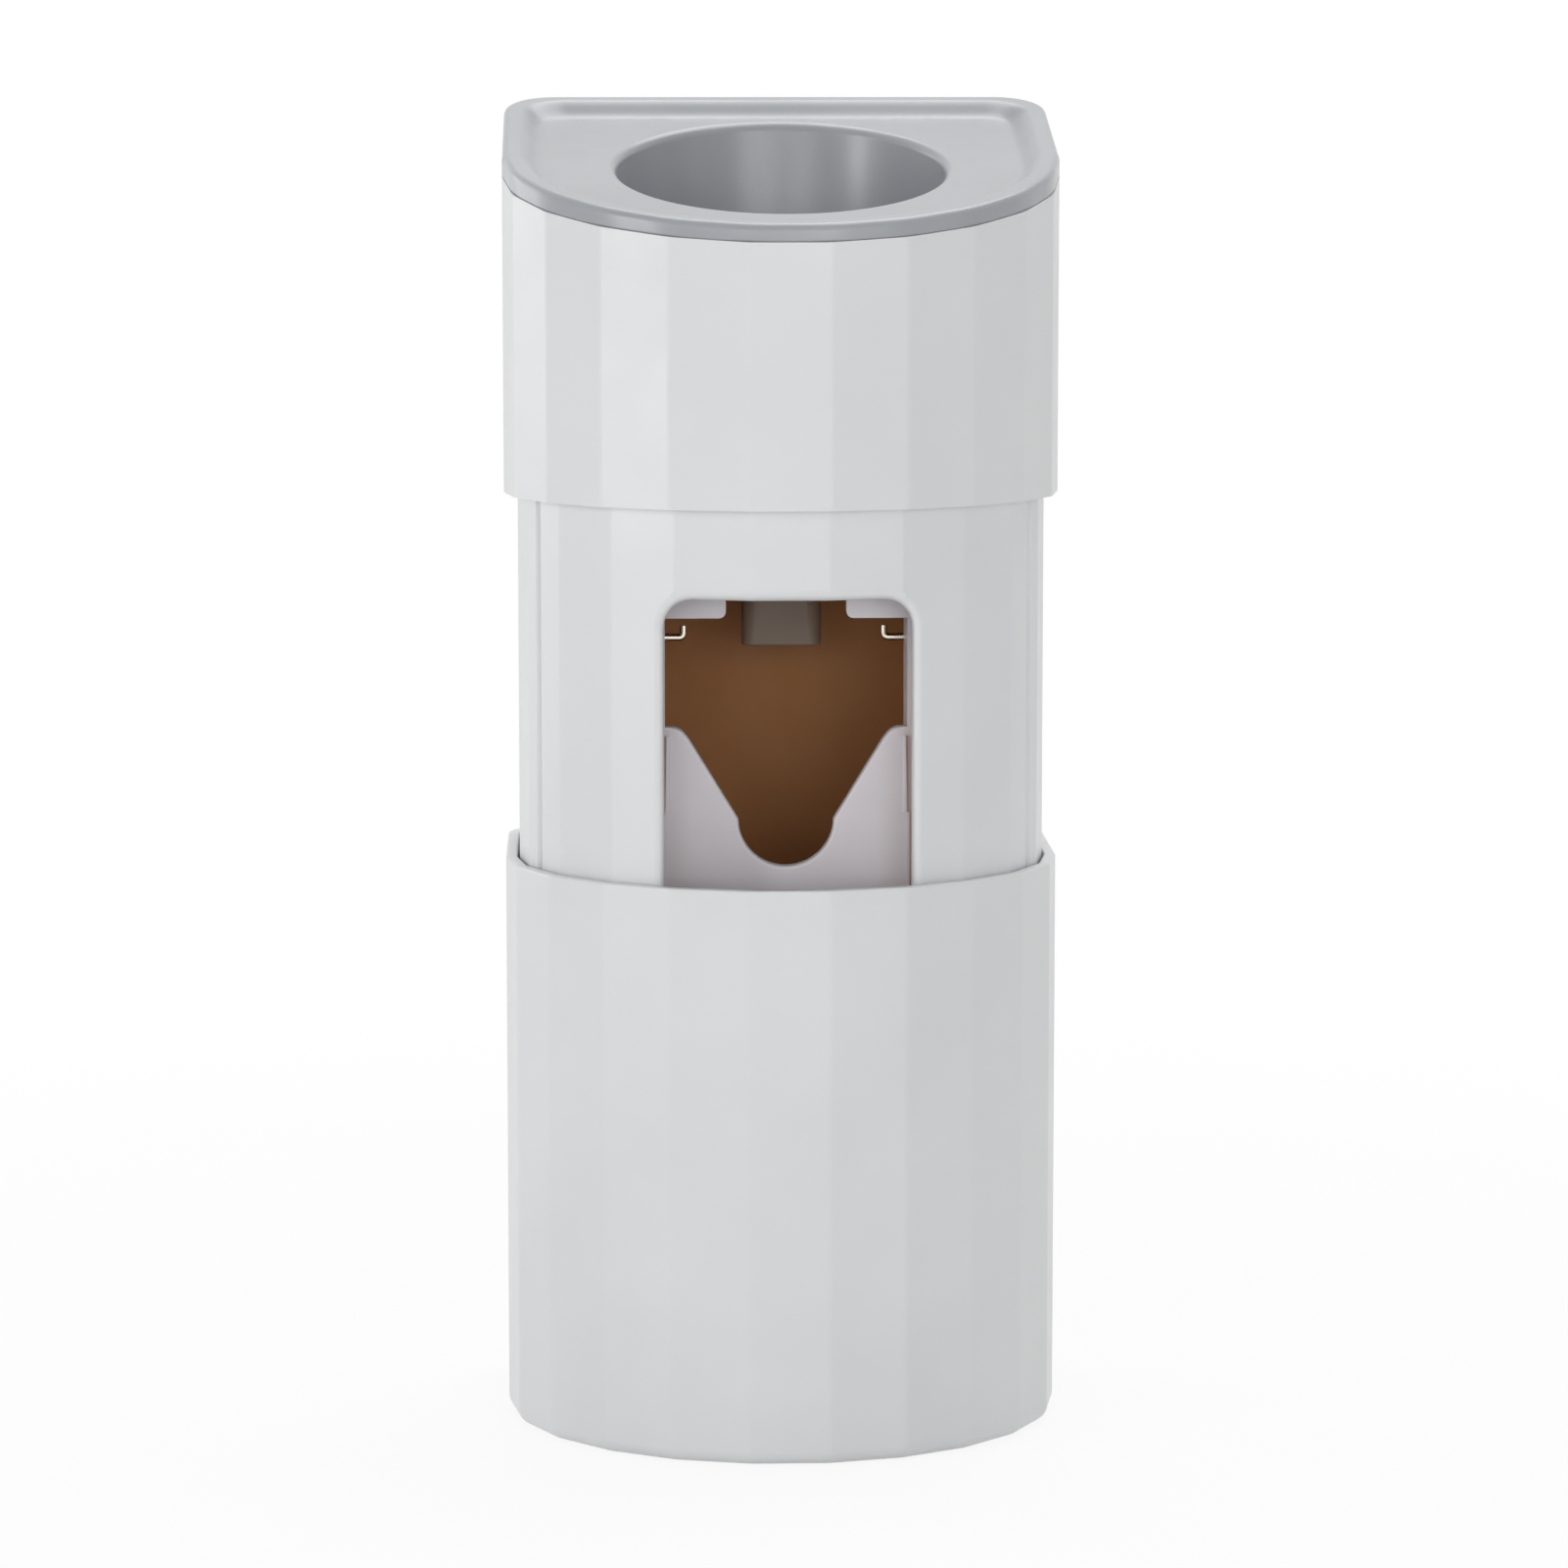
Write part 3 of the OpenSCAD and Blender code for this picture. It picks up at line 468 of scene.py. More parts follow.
# %% [markdown]
# ## Tray
# The grey top is what the eye rests on: a lip round the edge, a raised rim, a soft slope inside
# it, a slanted face, and the deep round well, whose floor falls half a millimetre to its hole. It
# could be cut from a block, but a moulded tray is a skin of even thickness. So it is skinned from
# loops again, from the lip over the rim down into the well, through the hole in its floor and
# back underneath. The slope is a row of loops that follow half a cosine wave, which leaves the
# rim and meets the face with no fold. The well is a cone that a plane cuts off at the slant. A
# loop close round its mouth keeps the long triangles of the flat face away from the bevel of the
# mouth.

# %% The well's loops
WELL_STEPS = 96  # flats round the well: enough to look round
WELL_R = 23.1  # radius of the well's cone at its top
WELL_Z = 110.2  # its floor
WELL_H = 21.37  # height of the whole cone, of which the slant cuts off the top
TAPER = 1.5  # how much the radius grows over that height


def round_loop(bm, radius, z, tilt=0.0, steps=WELL_STEPS):
    """Edges of a circle about the axis, laid on a slant that is z up at the case's front."""
    verts = bmesh.ops.create_circle(bm, segments=steps, radius=radius)["verts"]
    bmesh.ops.transform(bm, matrix=slanted(z, tilt), verts=verts)
    return edges_of(verts)


def well_cone(bm, extra, low, top_z, tilt):
    """The well's wall, extra thick, up to a slanted plane. Returns its lower and upper edges."""
    rise = (low - WELL_Z) * TAPER / WELL_H
    verts = bmesh.ops.create_cone(bm, segments=WELL_STEPS, radius1=WELL_R - TAPER + rise + extra,
                                  radius2=WELL_R + rise + extra, depth=WELL_H)["verts"]
    bmesh.ops.translate(bm, verts=verts, vec=(0, 0, low + WELL_H / 2))
    bottom = edges_of([v for v in verts if v.co.z < low + NEAR])
    wall = {f for v in verts for f in v.link_faces}
    tip = math.radians(tilt)
    cut = bmesh.ops.bisect_plane(bm, geom=list(wall) + edges_of(verts) + list(verts), dist=0.0001,
                                 plane_co=(0, -FRONT, top_z),
                                 plane_no=(0, -math.sin(tip), math.cos(tip)),
                                 clear_outer=True)["geom_cut"]
    return bottom, only(BMEdge, cut)


# %% Tray
LIP = 2.3  # height of the lip, from the seam to the top of the rim
TRAY_TILT = 13.8  # degrees that the top rises to the back
RIM_W, DISH_W, DISH = 2.2, 3.2, 1.8  # width of the rim, width and depth of the slope
SLOPE_STEPS = 8
TRAY_T = 1.6  # wall
SKIRT, SKIRT_IN = 3.0, 1.9  # the skirt inside the shell: its depth, and how far in it stands
HOLE_R, FLOOR_FALL = 14.0, 0.5
FLAT_ROOM = 0.7  # from the slope to the first loop of the flat face
MOUTH_ROOM = 1.25  # how much wider than the cone the loop round the mouth is
SOFT = 3.0  # how much the tray's outline rounds the corners between the flats

bm = bmesh.new()
top_z = SEAM_Z + LIP
dish_z = top_z - DISH
under_z = SEAM_Z - TRAY_T
under_lip = case_loop(bm, 0, SEAM_Z, SEAM_TILT, SOFT)
lip_edge = case_loop(bm, 0, top_z, TRAY_TILT, SOFT)
slope_loops = [case_loop(bm, RIM_W + DISH_W * t, top_z - DISH * (1 - math.cos(math.pi * t)) / 2,
                         TRAY_TILT, SOFT)
               for t in [step / SLOPE_STEPS for step in range(SLOPE_STEPS + 1)]]
flat_edge = case_loop(bm, RIM_W + DISH_W + FLAT_ROOM, dish_z, TRAY_TILT, SOFT)
near_mouth = round_loop(bm, WELL_R + MOUTH_ROOM, dish_z, TRAY_TILT)
well_foot, well_mouth = well_cone(bm, 0, WELL_Z, dish_z, TRAY_TILT)
hole_top = round_loop(bm, HOLE_R, WELL_Z - FLOOR_FALL)
hole_low = round_loop(bm, HOLE_R, WELL_Z - TRAY_T)
cup_foot, cup_top = well_cone(bm, TRAY_T, WELL_Z - TRAY_T, under_z, SEAM_TILT)
near_cup = round_loop(bm, WELL_R + TRAY_T + MOUTH_ROOM, under_z, SEAM_TILT)
plate_low = case_loop(bm, SKIRT_IN + TRAY_T, under_z, SEAM_TILT, SOFT)
skirt_low_in = case_loop(bm, SKIRT_IN + TRAY_T, SEAM_Z - SKIRT, SEAM_TILT, SOFT)
skirt_low_out = case_loop(bm, SKIRT_IN, SEAM_Z - SKIRT, SEAM_TILT, SOFT)
skirt_top = case_loop(bm, SKIRT_IN, SEAM_Z, SEAM_TILT, SOFT)
skin_between(bm, well_foot, hole_top, hole_low, cup_foot)
skin_between(bm, cup_top, near_cup, plate_low, skirt_low_in, skirt_low_out, skirt_top, under_lip,
             lip_edge, *slope_loops, flat_edge, near_mouth, well_mouth)
bmesh.ops.recalc_face_normals(bm, faces=bm.faces)
for edges, radius, segments in ((well_mouth, 1.1, 6), (well_foot, 0.8, 4), (hole_top, 0.5, 4),
                                (hole_low, 0.4, 3), (lip_edge, 0.9, 5), (under_lip, 0.3, 3)):
    round_off(bm, edges, radius, segments)
finish_piece(bm, "tray_moulding", "dispenser", grey_abs, ["top_tray"])

# %% [markdown]
# ## Pieces whose CAD shape is right
# The housing, the lever, the pump frame and the plates have the right shape in the CAD model but
# knife edges, which no mould gives. For these a copy is taken: its loose triangles are joined,
# flat neighbours are merged back to whole faces, and the edges are rounded with the same bevel.

# %% Copies of CAD nodes
WELD = 0.002  # mm between the corners of loose triangles that are the same point
STILL_FLAT = 0.4  # degrees between triangles that belong to one flat face


def cad_copy(node):
    """A bmesh of a CAD node in millimetres, with whole flat faces."""
    bm = bmesh.new()
    bm.from_mesh(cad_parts[node].data)
    bmesh.ops.transform(bm, matrix=TO_CASE, verts=bm.verts)
    bmesh.ops.remove_doubles(bm, verts=bm.verts, dist=WELD)
    bmesh.ops.dissolve_limit(bm, angle_limit=math.radians(STILL_FLAT), verts=bm.verts,
                             edges=bm.edges)
    print(f"copy of {node}: {len(bm.faces)} whole faces")
    return bm


def softened_copy(node, kind, radius, body, material):
    """A piece with the shape of a CAD node, and every sharp outer edge rounded."""
    bm = cad_copy(node)
    soften(bm, radius)
    finish_piece(bm, f"{node}_{kind}", body, material, [node], closed_by_hand=False)


# %% [markdown]
# ## Front housing
# The white body behind the cover. The flats keep crisp lines with a fine radius between them,
# and the window has a broad soft edge all round, which reads as a bright frame. The window's edge
# is rounded first, while its outline is still a clean row of edges.

# %% Front housing
WINDOW_HALF, WINDOW_LOW, WINDOW_TOP, WINDOW_SOFT = 16.5, 12.0, 66.2, 1.7
WINDOW_SKIN_Y = -29  # the outer skin round the window lies in front of this
ROOM = 0.1  # how far off its place an edge may be and still be picked


def on_window(edge):
    """True for the outer edge of the window."""
    spot = middle(edge)
    # A face of the outer skin looks forwards, and neither up nor down
    outside = any(f.normal.y < -0.4 and abs(f.normal.z) < 0.1 for f in edge.link_faces)
    return (abs(spot.x) < WINDOW_HALF + ROOM and WINDOW_LOW - ROOM < spot.z < WINDOW_TOP + ROOM
            and spot.y < WINDOW_SKIN_Y and outside and fold(edge) > 40 and edge.is_convex)


def between_flats(edge):
    """True for a long upright line between two front flats, which meet at about 16 degrees."""
    return (along(edge, 2) and 12 < fold(edge) < 22 and middle(edge).y < 1 and edge.is_convex
            and edge.calc_length() > 5)


bm = cad_copy("front_housing")
outline = [e for e in bm.edges if on_window(e)]
print("edges round the window:", len(outline))
round_off(bm, outline, WINDOW_SOFT, 5, clamp=False)
round_off(bm, [e for e in bm.edges if between_flats(e)], 0.5)
soften(bm, 0.2, CREASE)
finish_piece(bm, "housing_moulding", "dispenser", white_abs, ["front_housing"],
             closed_by_hand=False)

# %% [markdown]
# ## Push lever
# A brush is laid in its notch and pushed. The plate is milky polypropylene, two millimetres
# thick, and its edges glow a little where light leaves the plastic. The knees beside the notch
# are rounded for the brush, first across the plate, and then the whole line of the notch gets a
# soft edge to the front.

# %% Push lever
LEVER_Y, RIDGE_Y = -20.0, -20.5  # front of the plate, and what its ridges stand out past
NOTCH_Z, SHOULDER_Z = 29.2, 48.1  # foot of the notch, and the shoulders beside it
KNEE_FROM, KNEE_TO, KNEE_DROP = 12.5, 15, 1.6  # where the knees lie, off the middle and down
NOTCH_HALF = 15.6  # the line of the notch lies within this of the middle
TAB_Z, TAB_GAP = 62.8, 16.2  # foot of the two tabs at the top, and the gap between them

bm = cad_copy("push_lever")
knees = [e for e in bm.edges if along(e, 1) and KNEE_FROM < abs(middle(e).x) < KNEE_TO
         and SHOULDER_Z - KNEE_DROP < middle(e).z < SHOULDER_Z + ROOM]
round_off(bm, knees, 0.8, 5)
tab_corners = [e for e in bm.edges if along(e, 1) and abs(abs(middle(e).x) - TAB_GAP / 2) < ROOM
               and abs(middle(e).z - TAB_Z) < ROOM]
round_off(bm, tab_corners, 0.9, 4)
ridges = [e for e in bm.edges if along(e, 2) and middle(e).y < RIDGE_Y]
round_off(bm, ridges, 0.25, 3, clamp=False)
notch_line = [e for e in bm.edges if abs(middle(e).y - LEVER_Y) < NEAR and fold(e) > CREASE
              and NOTCH_Z - ROOM < middle(e).z < SHOULDER_Z + ROOM
              and abs(middle(e).x) < NOTCH_HALF]
print("edges along the notch:", len(notch_line))
round_off(bm, notch_line, 0.5, 3, clamp=False)
soften(bm, 0.15)
finish_piece(bm, "push_lever_moulding", "lever", milky_pp, ["push_lever"],
             closed_by_hand=False)

# %% [markdown]
# ## Inner works and the back
# The liner and frame, whose brown is painted warm light that comes through the white shells, the
# back plate, the plate on the wall and the two catches keep their CAD shape, with the fine radius
# of a mould on every outer edge.

# %% Inner works and the back
# The liner and frame take the brown that paints in the warm light coming through the white shells
for node, body, material, slot in (
        ("throat_liner", "dispenser", warm_light_brown, "throat_brown"),
        ("pump_frame", "dispenser", warm_light_brown, "throat_brown"),
        ("back_plate", "dispenser", white_abs, "shell_white"),
        ("wall_plate", "wall_mount", milky_pp, "plate_plastic"),
        ("cover_catches", "dispenser", milky_pp, "plate_plastic")):
    softened_copy(node, "moulding", 0.2, body, material)

# %% [markdown]
# ## Silicone and acetal
# The seal, the valve, the pump tube and the outlet are silicone, which light enters and leaves a
# few millimetres away. So its shader is half subsurface scattering, with a longer way for red
# than for blue. The seal is off-white, and pinker and a little darker towards its middle: the
# distance from the axis, which a Mapping node moves to the origin, drives that tone. The ring
# round the seal and the cap on the outlet are acetal, white and slightly waxy.

# %% Silicone and acetal
AXIS_TONE_TO, AXIS_TONE_GONE = 3.5, 8.0  # mm from the axis: pink within, off-white beyond
CLOUD_MM, SKIN_MM, SKIN_DEPTH_MM = 3, 0.5, 0.006
SILICONE_SWING = (0.05, 0.05)

# Acetal off a polished mould: waxy white, brighter than the case
white_acetal = moulded("polished_white_acetal", "#E4E4E2", "#E9E9E7", 0.33, 0.6, 0.002, ior=1.48,
                       glow=0.15)


def silicone(name, edge_tone, centre_tone, see_through, roughness):
    """Moulded silicone, with one tone at the case's axis and another away from it."""
    material, tree, place = new_material(name)
    centred = add_node(tree, "Mapping", {"Location": (0, -AXIS_Y, 0), "Scale": (1, 1, 0)},
                       {"Vector": place})
    radius = add_node(tree, "VectorMath", {"operation": "LENGTH"}, {0: centred.outputs[0]})
    inner = add_node(tree, "MapRange", {"From Min": AXIS_TONE_TO, "From Max": AXIS_TONE_GONE},
                     {"Value": radius.outputs["Value"]})
    cloud = add_node(tree, "TexNoise", {"Scale": 1 / CLOUD_MM, "Detail": 3}, {"Vector": place})
    skin = add_node(tree, "TexNoise", {"Scale": 1 / SKIN_MM, "Detail": 2}, {"Vector": place})
    lay_surface(tree, {"IOR": 1.41, "Subsurface Weight": 0.5, "Subsurface Scale": 1 / MM_PER_M,
                       "Subsurface Radius": (2.4, 1.6, 1.2), "Transmission Weight": see_through},
                cloud.outputs["Fac"], roughness, SILICONE_SWING, skin.outputs["Fac"],
                SKIN_DEPTH_MM, inner.outputs["Result"], [(0.0, centre_tone), (1.0, edge_tone)])
    return material


# Moulded silicone of the seal: off-white, pinkish in the middle, soft satin
seal_silicone = silicone("off_white_moulded_silicone", "#DAD9DA", "#D1C2C1", 0.0, 0.42)
# Clear silicone of the outlet: smoky and partly see-through, so the throat shows through it, and
# its colour is also tinted brown, a painted stand-in for that throat seen through it
smoky_silicone_painted_brown = silicone("smoky_clear_silicone_painted_brown", "#A49181", "#9C8979", 0.35, 0.38)

# %% [markdown]
# ## Turned shapes
# Seal, valve, tube and ring are all bodies of revolution. Each is half a section, a few points
# of radius and height, spun once round the axis; the corners of the section are then rounded as
# rings of edges. Where a section starts and ends on the axis, the merge closes the pole.

# %% Turned shapes
def turned(bm, section, steps=72):
    """Spins a section of (radius, z) points round the z axis."""
    verts = [bm.verts.new((radius, 0, z)) for radius, z in section]
    pairs = list(zip(verts, verts[1:]))
    if section[0][0] > 0:
        pairs.append((verts[-1], verts[0]))
    edges = [bm.edges.new(pair) for pair in pairs]
    bmesh.ops.spin(bm, geom=verts + edges, cent=(0, 0, 0), axis=(0, 0, 1), angle=math.tau,
                   steps=steps, use_merge=True, use_duplicate=False)
    bmesh.ops.remove_doubles(bm, verts=bm.verts, dist=0.001)
    bmesh.ops.recalc_face_normals(bm, faces=bm.faces)


def tube_section(inner_r, outer_r, low, high):
    """The section of a plain ring or tube."""
    return [(inner_r, low), (outer_r, low), (outer_r, high), (inner_r, high)]


def ring_at(bm, radius, z):
    """The edges of a turned shape's ring at a radius and a height."""
    near = [v for v in bm.verts if abs(v.co.xy.length - radius) < NEAR and abs(v.co.z - z) < NEAR]
    return edges_of(near)


def turned_piece(name, section, rounding, material, stands_for):
    """A turned piece of the dispenser, with (radius, z, rounding) for the rings to be rounded."""
    bm = bmesh.new()
    turned(bm, section)
    for radius, z, soft in rounding:
        round_off(bm, ring_at(bm, radius, z), soft, 4)
    return finish_piece(bm, name, "dispenser", material, stands_for)


# %% [markdown]
# ## Seal, ring, valve and collar
# They stand in a column on the axis, from the tube's neck down to the outlet. The seal fills its
# ring nearly to the brim, and a conical dimple in its top leads the neck into the socket. Under
# it lies the valve, a disc that keeps paste from being pushed back. At the column's foot a cap
# clamps the outlet to the pump tube. Little of them is seen, but each is turned whole.

# %% Seal, ring, valve and collar
SEAL_R, SEAL_LOW, SEAL_TOP = 12.7, 99.0, 107.2
DIMPLE_R, DIMPLE_TOP = 8.8, 106.8
SOCKET_R, SOCKET_Z, SOCKET_TOP = 6.2, 100.2, 104.2
PASTE_R = 2.5  # the paste's way through seal and valve
RING_IN, RING_OUT, RING_TOP = 12.8, 15.5, 107.4
TUBE_TOP, VALVE_Z, VALVE_R = 96.0, 97.8, 11.0  # the tube's upper flange ends at the valve
CLAMP_Z, FLANGE_Z, TUBE_Z = 70.0, 71.7, 73.2  # outlet's flange, tube's flange, tube's wall
CAP_R, CAP_TOP, CAP_HOLE_R, CAP_IN = 10.5, 74.4, 7.3, 9.3

turned_piece("tube_seal", [(PASTE_R, SEAL_LOW), (SEAL_R, SEAL_LOW), (SEAL_R, SEAL_TOP),
                           (DIMPLE_R, DIMPLE_TOP), (SOCKET_R, SOCKET_TOP), (SOCKET_R, SOCKET_Z),
                           (PASTE_R, SOCKET_Z)],
             [(SEAL_R, SEAL_TOP, 0.4), (DIMPLE_R, DIMPLE_TOP, 1.8), (SOCKET_R, SOCKET_TOP, 1.2),
              (SOCKET_R, SOCKET_Z, 0.5), (PASTE_R, SOCKET_Z, 0.3)],
             seal_silicone, ["neck_seal"])
turned_piece("seal_ring", tube_section(RING_IN, RING_OUT, TUBE_TOP, RING_TOP),
             [(RING_OUT, RING_TOP, 0.4), (RING_IN, RING_TOP, 0.2)],
             white_acetal, ["seal_holder"])
turned_piece("inlet_flap_disc", tube_section(PASTE_R, VALVE_R, VALVE_Z, SEAL_LOW),
             [(PASTE_R, VALVE_Z, 0.3)],
             smoky_silicone_painted_brown, ["inlet_valve"])
turned_piece("outlet_cap", [(CAP_IN, CLAMP_Z), (CAP_R, CLAMP_Z), (CAP_R, CAP_TOP),
                            (CAP_HOLE_R, CAP_TOP), (CAP_HOLE_R, TUBE_Z), (CAP_IN, TUBE_Z)],
             [(CAP_R, CAP_TOP, 0.4), (CAP_R, CLAMP_Z, 0.2), (CAP_HOLE_R, CAP_TOP, 0.2)],
             white_acetal, ["nozzle_collar"])

# %% [markdown]
# ## Pump tube
# The lever's pad squeezes the tube against an anvil behind it. The wall between the flanges is a
# piece of its own with a mesh of its own, and the flanges, which are clamped, are a second
# piece.

# %% Pump tube
BORE_R, TUBE_R, FLANGE_R = 5.4, 7.0, 9.0

tube_wall = turned_piece("pump_tube_wall", tube_section(BORE_R, TUBE_R, TUBE_Z, TUBE_TOP), [],
                         seal_silicone, ["pump_tube"])
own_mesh(tube_wall)

bm = bmesh.new()
turned(bm, tube_section(BORE_R, FLANGE_R, FLANGE_Z, TUBE_Z))
turned(bm, tube_section(BORE_R, VALVE_R, TUBE_TOP, VALVE_Z))
soften(bm, 0.15)
finish_piece(bm, "pump_tube_flanges", "dispenser", seal_silicone, ["pump_tube"])

# %% [markdown]
# ## Outlet
# Round where it is clamped, flat where the paste leaves it as a ribbon. Circles and rounded
# oblongs with the same number of points are skinned in a row, outside down and inside up, so the
# round neck runs into the flat blade as the silicone does. The oblong starts as one square whose
# corners are rounded by a vertex bevel.

# %% Loops of the outlet
RING_POINTS = 48


def neck_loop(bm, radius, z):
    """A circle of the outlet's neck."""
    return round_loop(bm, radius, z, steps=RING_POINTS)


def blade_loop(bm, width, depth, corner, z):
    """A rounded oblong with as many points as the neck's circles."""
    verts = bmesh.ops.create_grid(bm, x_segments=1, y_segments=1, size=0.5)["verts"]
    bmesh.ops.scale(bm, verts=verts, vec=(width, depth, 1))
    bmesh.ops.translate(bm, verts=verts, vec=(0, 0, z))
    made = round_corners(bm, verts, corner, RING_POINTS // 4 - 1)
    face = made["verts"][0].link_faces[0]
    edges = list(face.edges)
    bmesh.ops.delete(bm, geom=[face], context="FACES_ONLY")
    return edges


# %% Outlet
BLADE_W, BLADE_D, OUTLET_WALL = 10.9, 5.0, 1.1
ROOT_D = BLADE_D + 0.6  # the blade is a little deeper at its root
NECK_R, NECK_BORE_R = 6.2, 5.0
NECK_LOW, ROOT_Z, LIP_Z = 66.6, 63.4, 57.2  # neck's end, blade's root, blade's lip
inner_w, inner_d = BLADE_W - 2 * OUTLET_WALL, BLADE_D - 2 * OUTLET_WALL

bm = bmesh.new()
outside = [neck_loop(bm, FLANGE_R, FLANGE_Z), neck_loop(bm, FLANGE_R, CLAMP_Z),
           neck_loop(bm, NECK_R, CLAMP_Z), neck_loop(bm, NECK_R, NECK_LOW),
           blade_loop(bm, BLADE_W, ROOT_D, 2.2, ROOT_Z),
           blade_loop(bm, BLADE_W, BLADE_D, 1.7, LIP_Z)]
inside = [blade_loop(bm, inner_w, inner_d, 1.1, LIP_Z),
          blade_loop(bm, inner_w, inner_d, 1.1, ROOT_Z),
          neck_loop(bm, NECK_BORE_R, NECK_LOW), neck_loop(bm, NECK_BORE_R, FLANGE_Z)]
skin_between(bm, *outside, *inside, outside[0])
bmesh.ops.recalc_face_normals(bm, faces=bm.faces)
for edges in (outside[1], outside[-1], inside[0]):
    round_off(bm, edges, 0.35)
finish_piece(bm, "ribbon_outlet", "dispenser", smoky_silicone_painted_brown, ["outlet_nozzle"])

# %% [markdown]
# ## Press pad, foam pad and buffers
# Three soft blocks: the pad on the lever that meets the tube, with a crowned face; the foam tape
# on the wall; and the rubber stops in the grooves. The two last keep the CAD shape with softer
# edges. Foam and rubber are made of cells or grains, which a Voronoi pattern draws, so relief,
# tone and gloss all follow the same cells.

# %% Foam and rubber
def soft_block(name, dark, light, roughness, cell_mm, cell_depth_mm):
    """Foam or rubber, with cells of a real size."""
    material, tree, place = new_material(name)
    cells = add_node(tree, "TexVoronoi", {"Scale": 1 / cell_mm}, {"Vector": place})
    cells = cells.outputs["Distance"]
    lay_surface(tree, {"IOR": 1.5}, cells, roughness, (0.05, 0.03), cells, cell_depth_mm,
                cells, [(0.1, dark), (0.7, light)])
    return material


# Double-sided acrylic foam tape: closed cells of a third of a millimetre, matt
foam_tape = soft_block("white_acrylic_foam_tape", "#D6D5CF", "#E6E5E0", 0.88, 0.35, 0.03)
# Thermoplastic rubber of the buffers: dark grey, dull
grey_rubber = soft_block("grey_thermoplastic_rubber", "#464648", "#515153", 0.75, 0.5, 0.01)

# %% Press pad, foam pad and buffers
PAD_SIZE, PAD_MIDDLE = (12, 3.7, 9), (0, -9.15, 82.5)

bm = bmesh.new()
block(bm, PAD_SIZE, PAD_MIDDLE)
crown = [e for e in bm.edges if all(v.co.y > PAD_MIDDLE[1] for v in e.verts)]
round_off(bm, crown, 1.2, 5)
soften(bm, 0.3)
finish_piece(bm, "press_pad_block", "lever", smoky_silicone_painted_brown, ["press_pad"])

softened_copy("adhesive_pad", "soft", 0.12, "wall_mount", foam_tape)
softened_copy("stop_buffers", "soft", 0.12, "dispenser", grey_rubber)

# %% [markdown]
# ## Metals
# Three steels. Spring wire is drawn through a die, so its marks run along it and it shines. The
# hinge pins are turned on a lathe, which leaves fine rings round them. The screws are plated with
# zinc, whose crystals break the shine into small patches. The IOR stays as the shader has it: at
# full Metallic the colour gives the reflection.

# %% Metals
STEEL_SWING = (0.05, 0.05)


def steel(name, tone, roughness, pattern, pattern_mm, depth_mm, squeeze=(1, 1, 1)):
    """Bare or plated steel. squeeze stretches the pattern along an axis where it is below 1."""
    material, tree, place = new_material(name)
    laid = add_node(tree, "Mapping", {"Scale": squeeze}, {"Vector": place})
    marks = add_node(tree, pattern, {"Scale": 1 / pattern_mm}, {"Vector": laid.outputs[0]})
    lay_surface(tree, {"Metallic": 1.0, "Base Color": linear(tone)}, marks.outputs[0], roughness,
                STEEL_SWING, marks.outputs[0], depth_mm)
    return material


# Music wire, drawn: warm bright steel, its die marks long in the direction of the leg
drawn_wire = steel("drawn_spring_wire", "#E3DAC8", 0.24, "TexNoise", 0.25, 0.004, (1, 1, 0.08))
# Free-cutting steel off a lathe: rings a few tenths apart, drawn coarser so that they show
turned_steel = steel("turned_pin_steel", "#B9B9B8", 0.32, "TexWave", 1.6, 0.004)
# Zinc plate: crystals of about a millimetre
zinc_plate = steel("zinc_plated_steel", "#BFC1BE", 0.36, "TexVoronoi", 0.9, 0.006)

# %% [markdown]
# ## Hinge pins
# Turned along z, then laid along x. Each has a flat head outside the frame's cheek and a small
# lead at its tip. The left one is the right one mirrored.

# %% Hinge pins
PIVOT_Y, PIVOT_Z = -12.0, 98.0  # the axis that the lever swings on
LEVER_HALF = 17.5  # half the lever's width
CHEEK_X, CHEEK_T = 21.825, 2.0  # inner face and thickness of the frame's cheek beside it
PIN_R, PIN_LEAD, PIN_HEAD_R, PIN_HEAD_T = 1.25, 0.3, 2.2, 0.9
PIN_REACH = 2.0  # how far the pin reaches into the lever
pin_from, pin_to = LEVER_HALF - PIN_REACH, CHEEK_X + CHEEK_T
pin_head = pin_to + PIN_HEAD_T
LAY_ALONG_X = Matrix.Translation((0, PIVOT_Y, PIVOT_Z)) @ Matrix.Rotation(math.pi / 2, 4, "Y")
SIDES = ((1, "right"), (-1, "left"))

for side, name in SIDES:
    bm = bmesh.new()
    turned(bm, [(0, pin_from), (PIN_R - PIN_LEAD, pin_from), (PIN_R, pin_from + PIN_LEAD),
                (PIN_R, pin_to), (PIN_HEAD_R, pin_to), (PIN_HEAD_R, pin_head), (0, pin_head)], 48)
    round_off(bm, ring_at(bm, PIN_HEAD_R, pin_head), 0.3)
    bmesh.ops.transform(bm, matrix=Matrix.Scale(side, 4, (1, 0, 0)) @ LAY_ALONG_X, verts=bm.verts)
    finish_piece(bm, f"{name}_turned_pin", "dispenser", turned_steel, [f"{name}_hinge_pin"])

# %% [markdown]
# ## Return springs
# Two torsion springs pull the lever back out. Each is one wire: a curled tip, a hook across the
# lever's arm, a long leg, a coil round the pin and a short leg on the frame. It is a mesh, not a
# curve with a bevel: a disc is extruded along the straights and spun round the bends, and the
# coil is a spin that also moves sideways. The long leg runs from the lever's arm up to the coil.

# %% Drawing with a wire
def run_on(bm, end, vec, steps=1):
    """Extrudes the wire's end straight on and returns the new end face."""
    for _ in range(steps):
        made = bmesh.ops.extrude_face_region(bm, geom=with_rim([end]))["geom"]
        end = only(BMFace, made)[0]
        bmesh.ops.translate(bm, verts=end.verts, vec=Vector(vec) / steps)
    return end


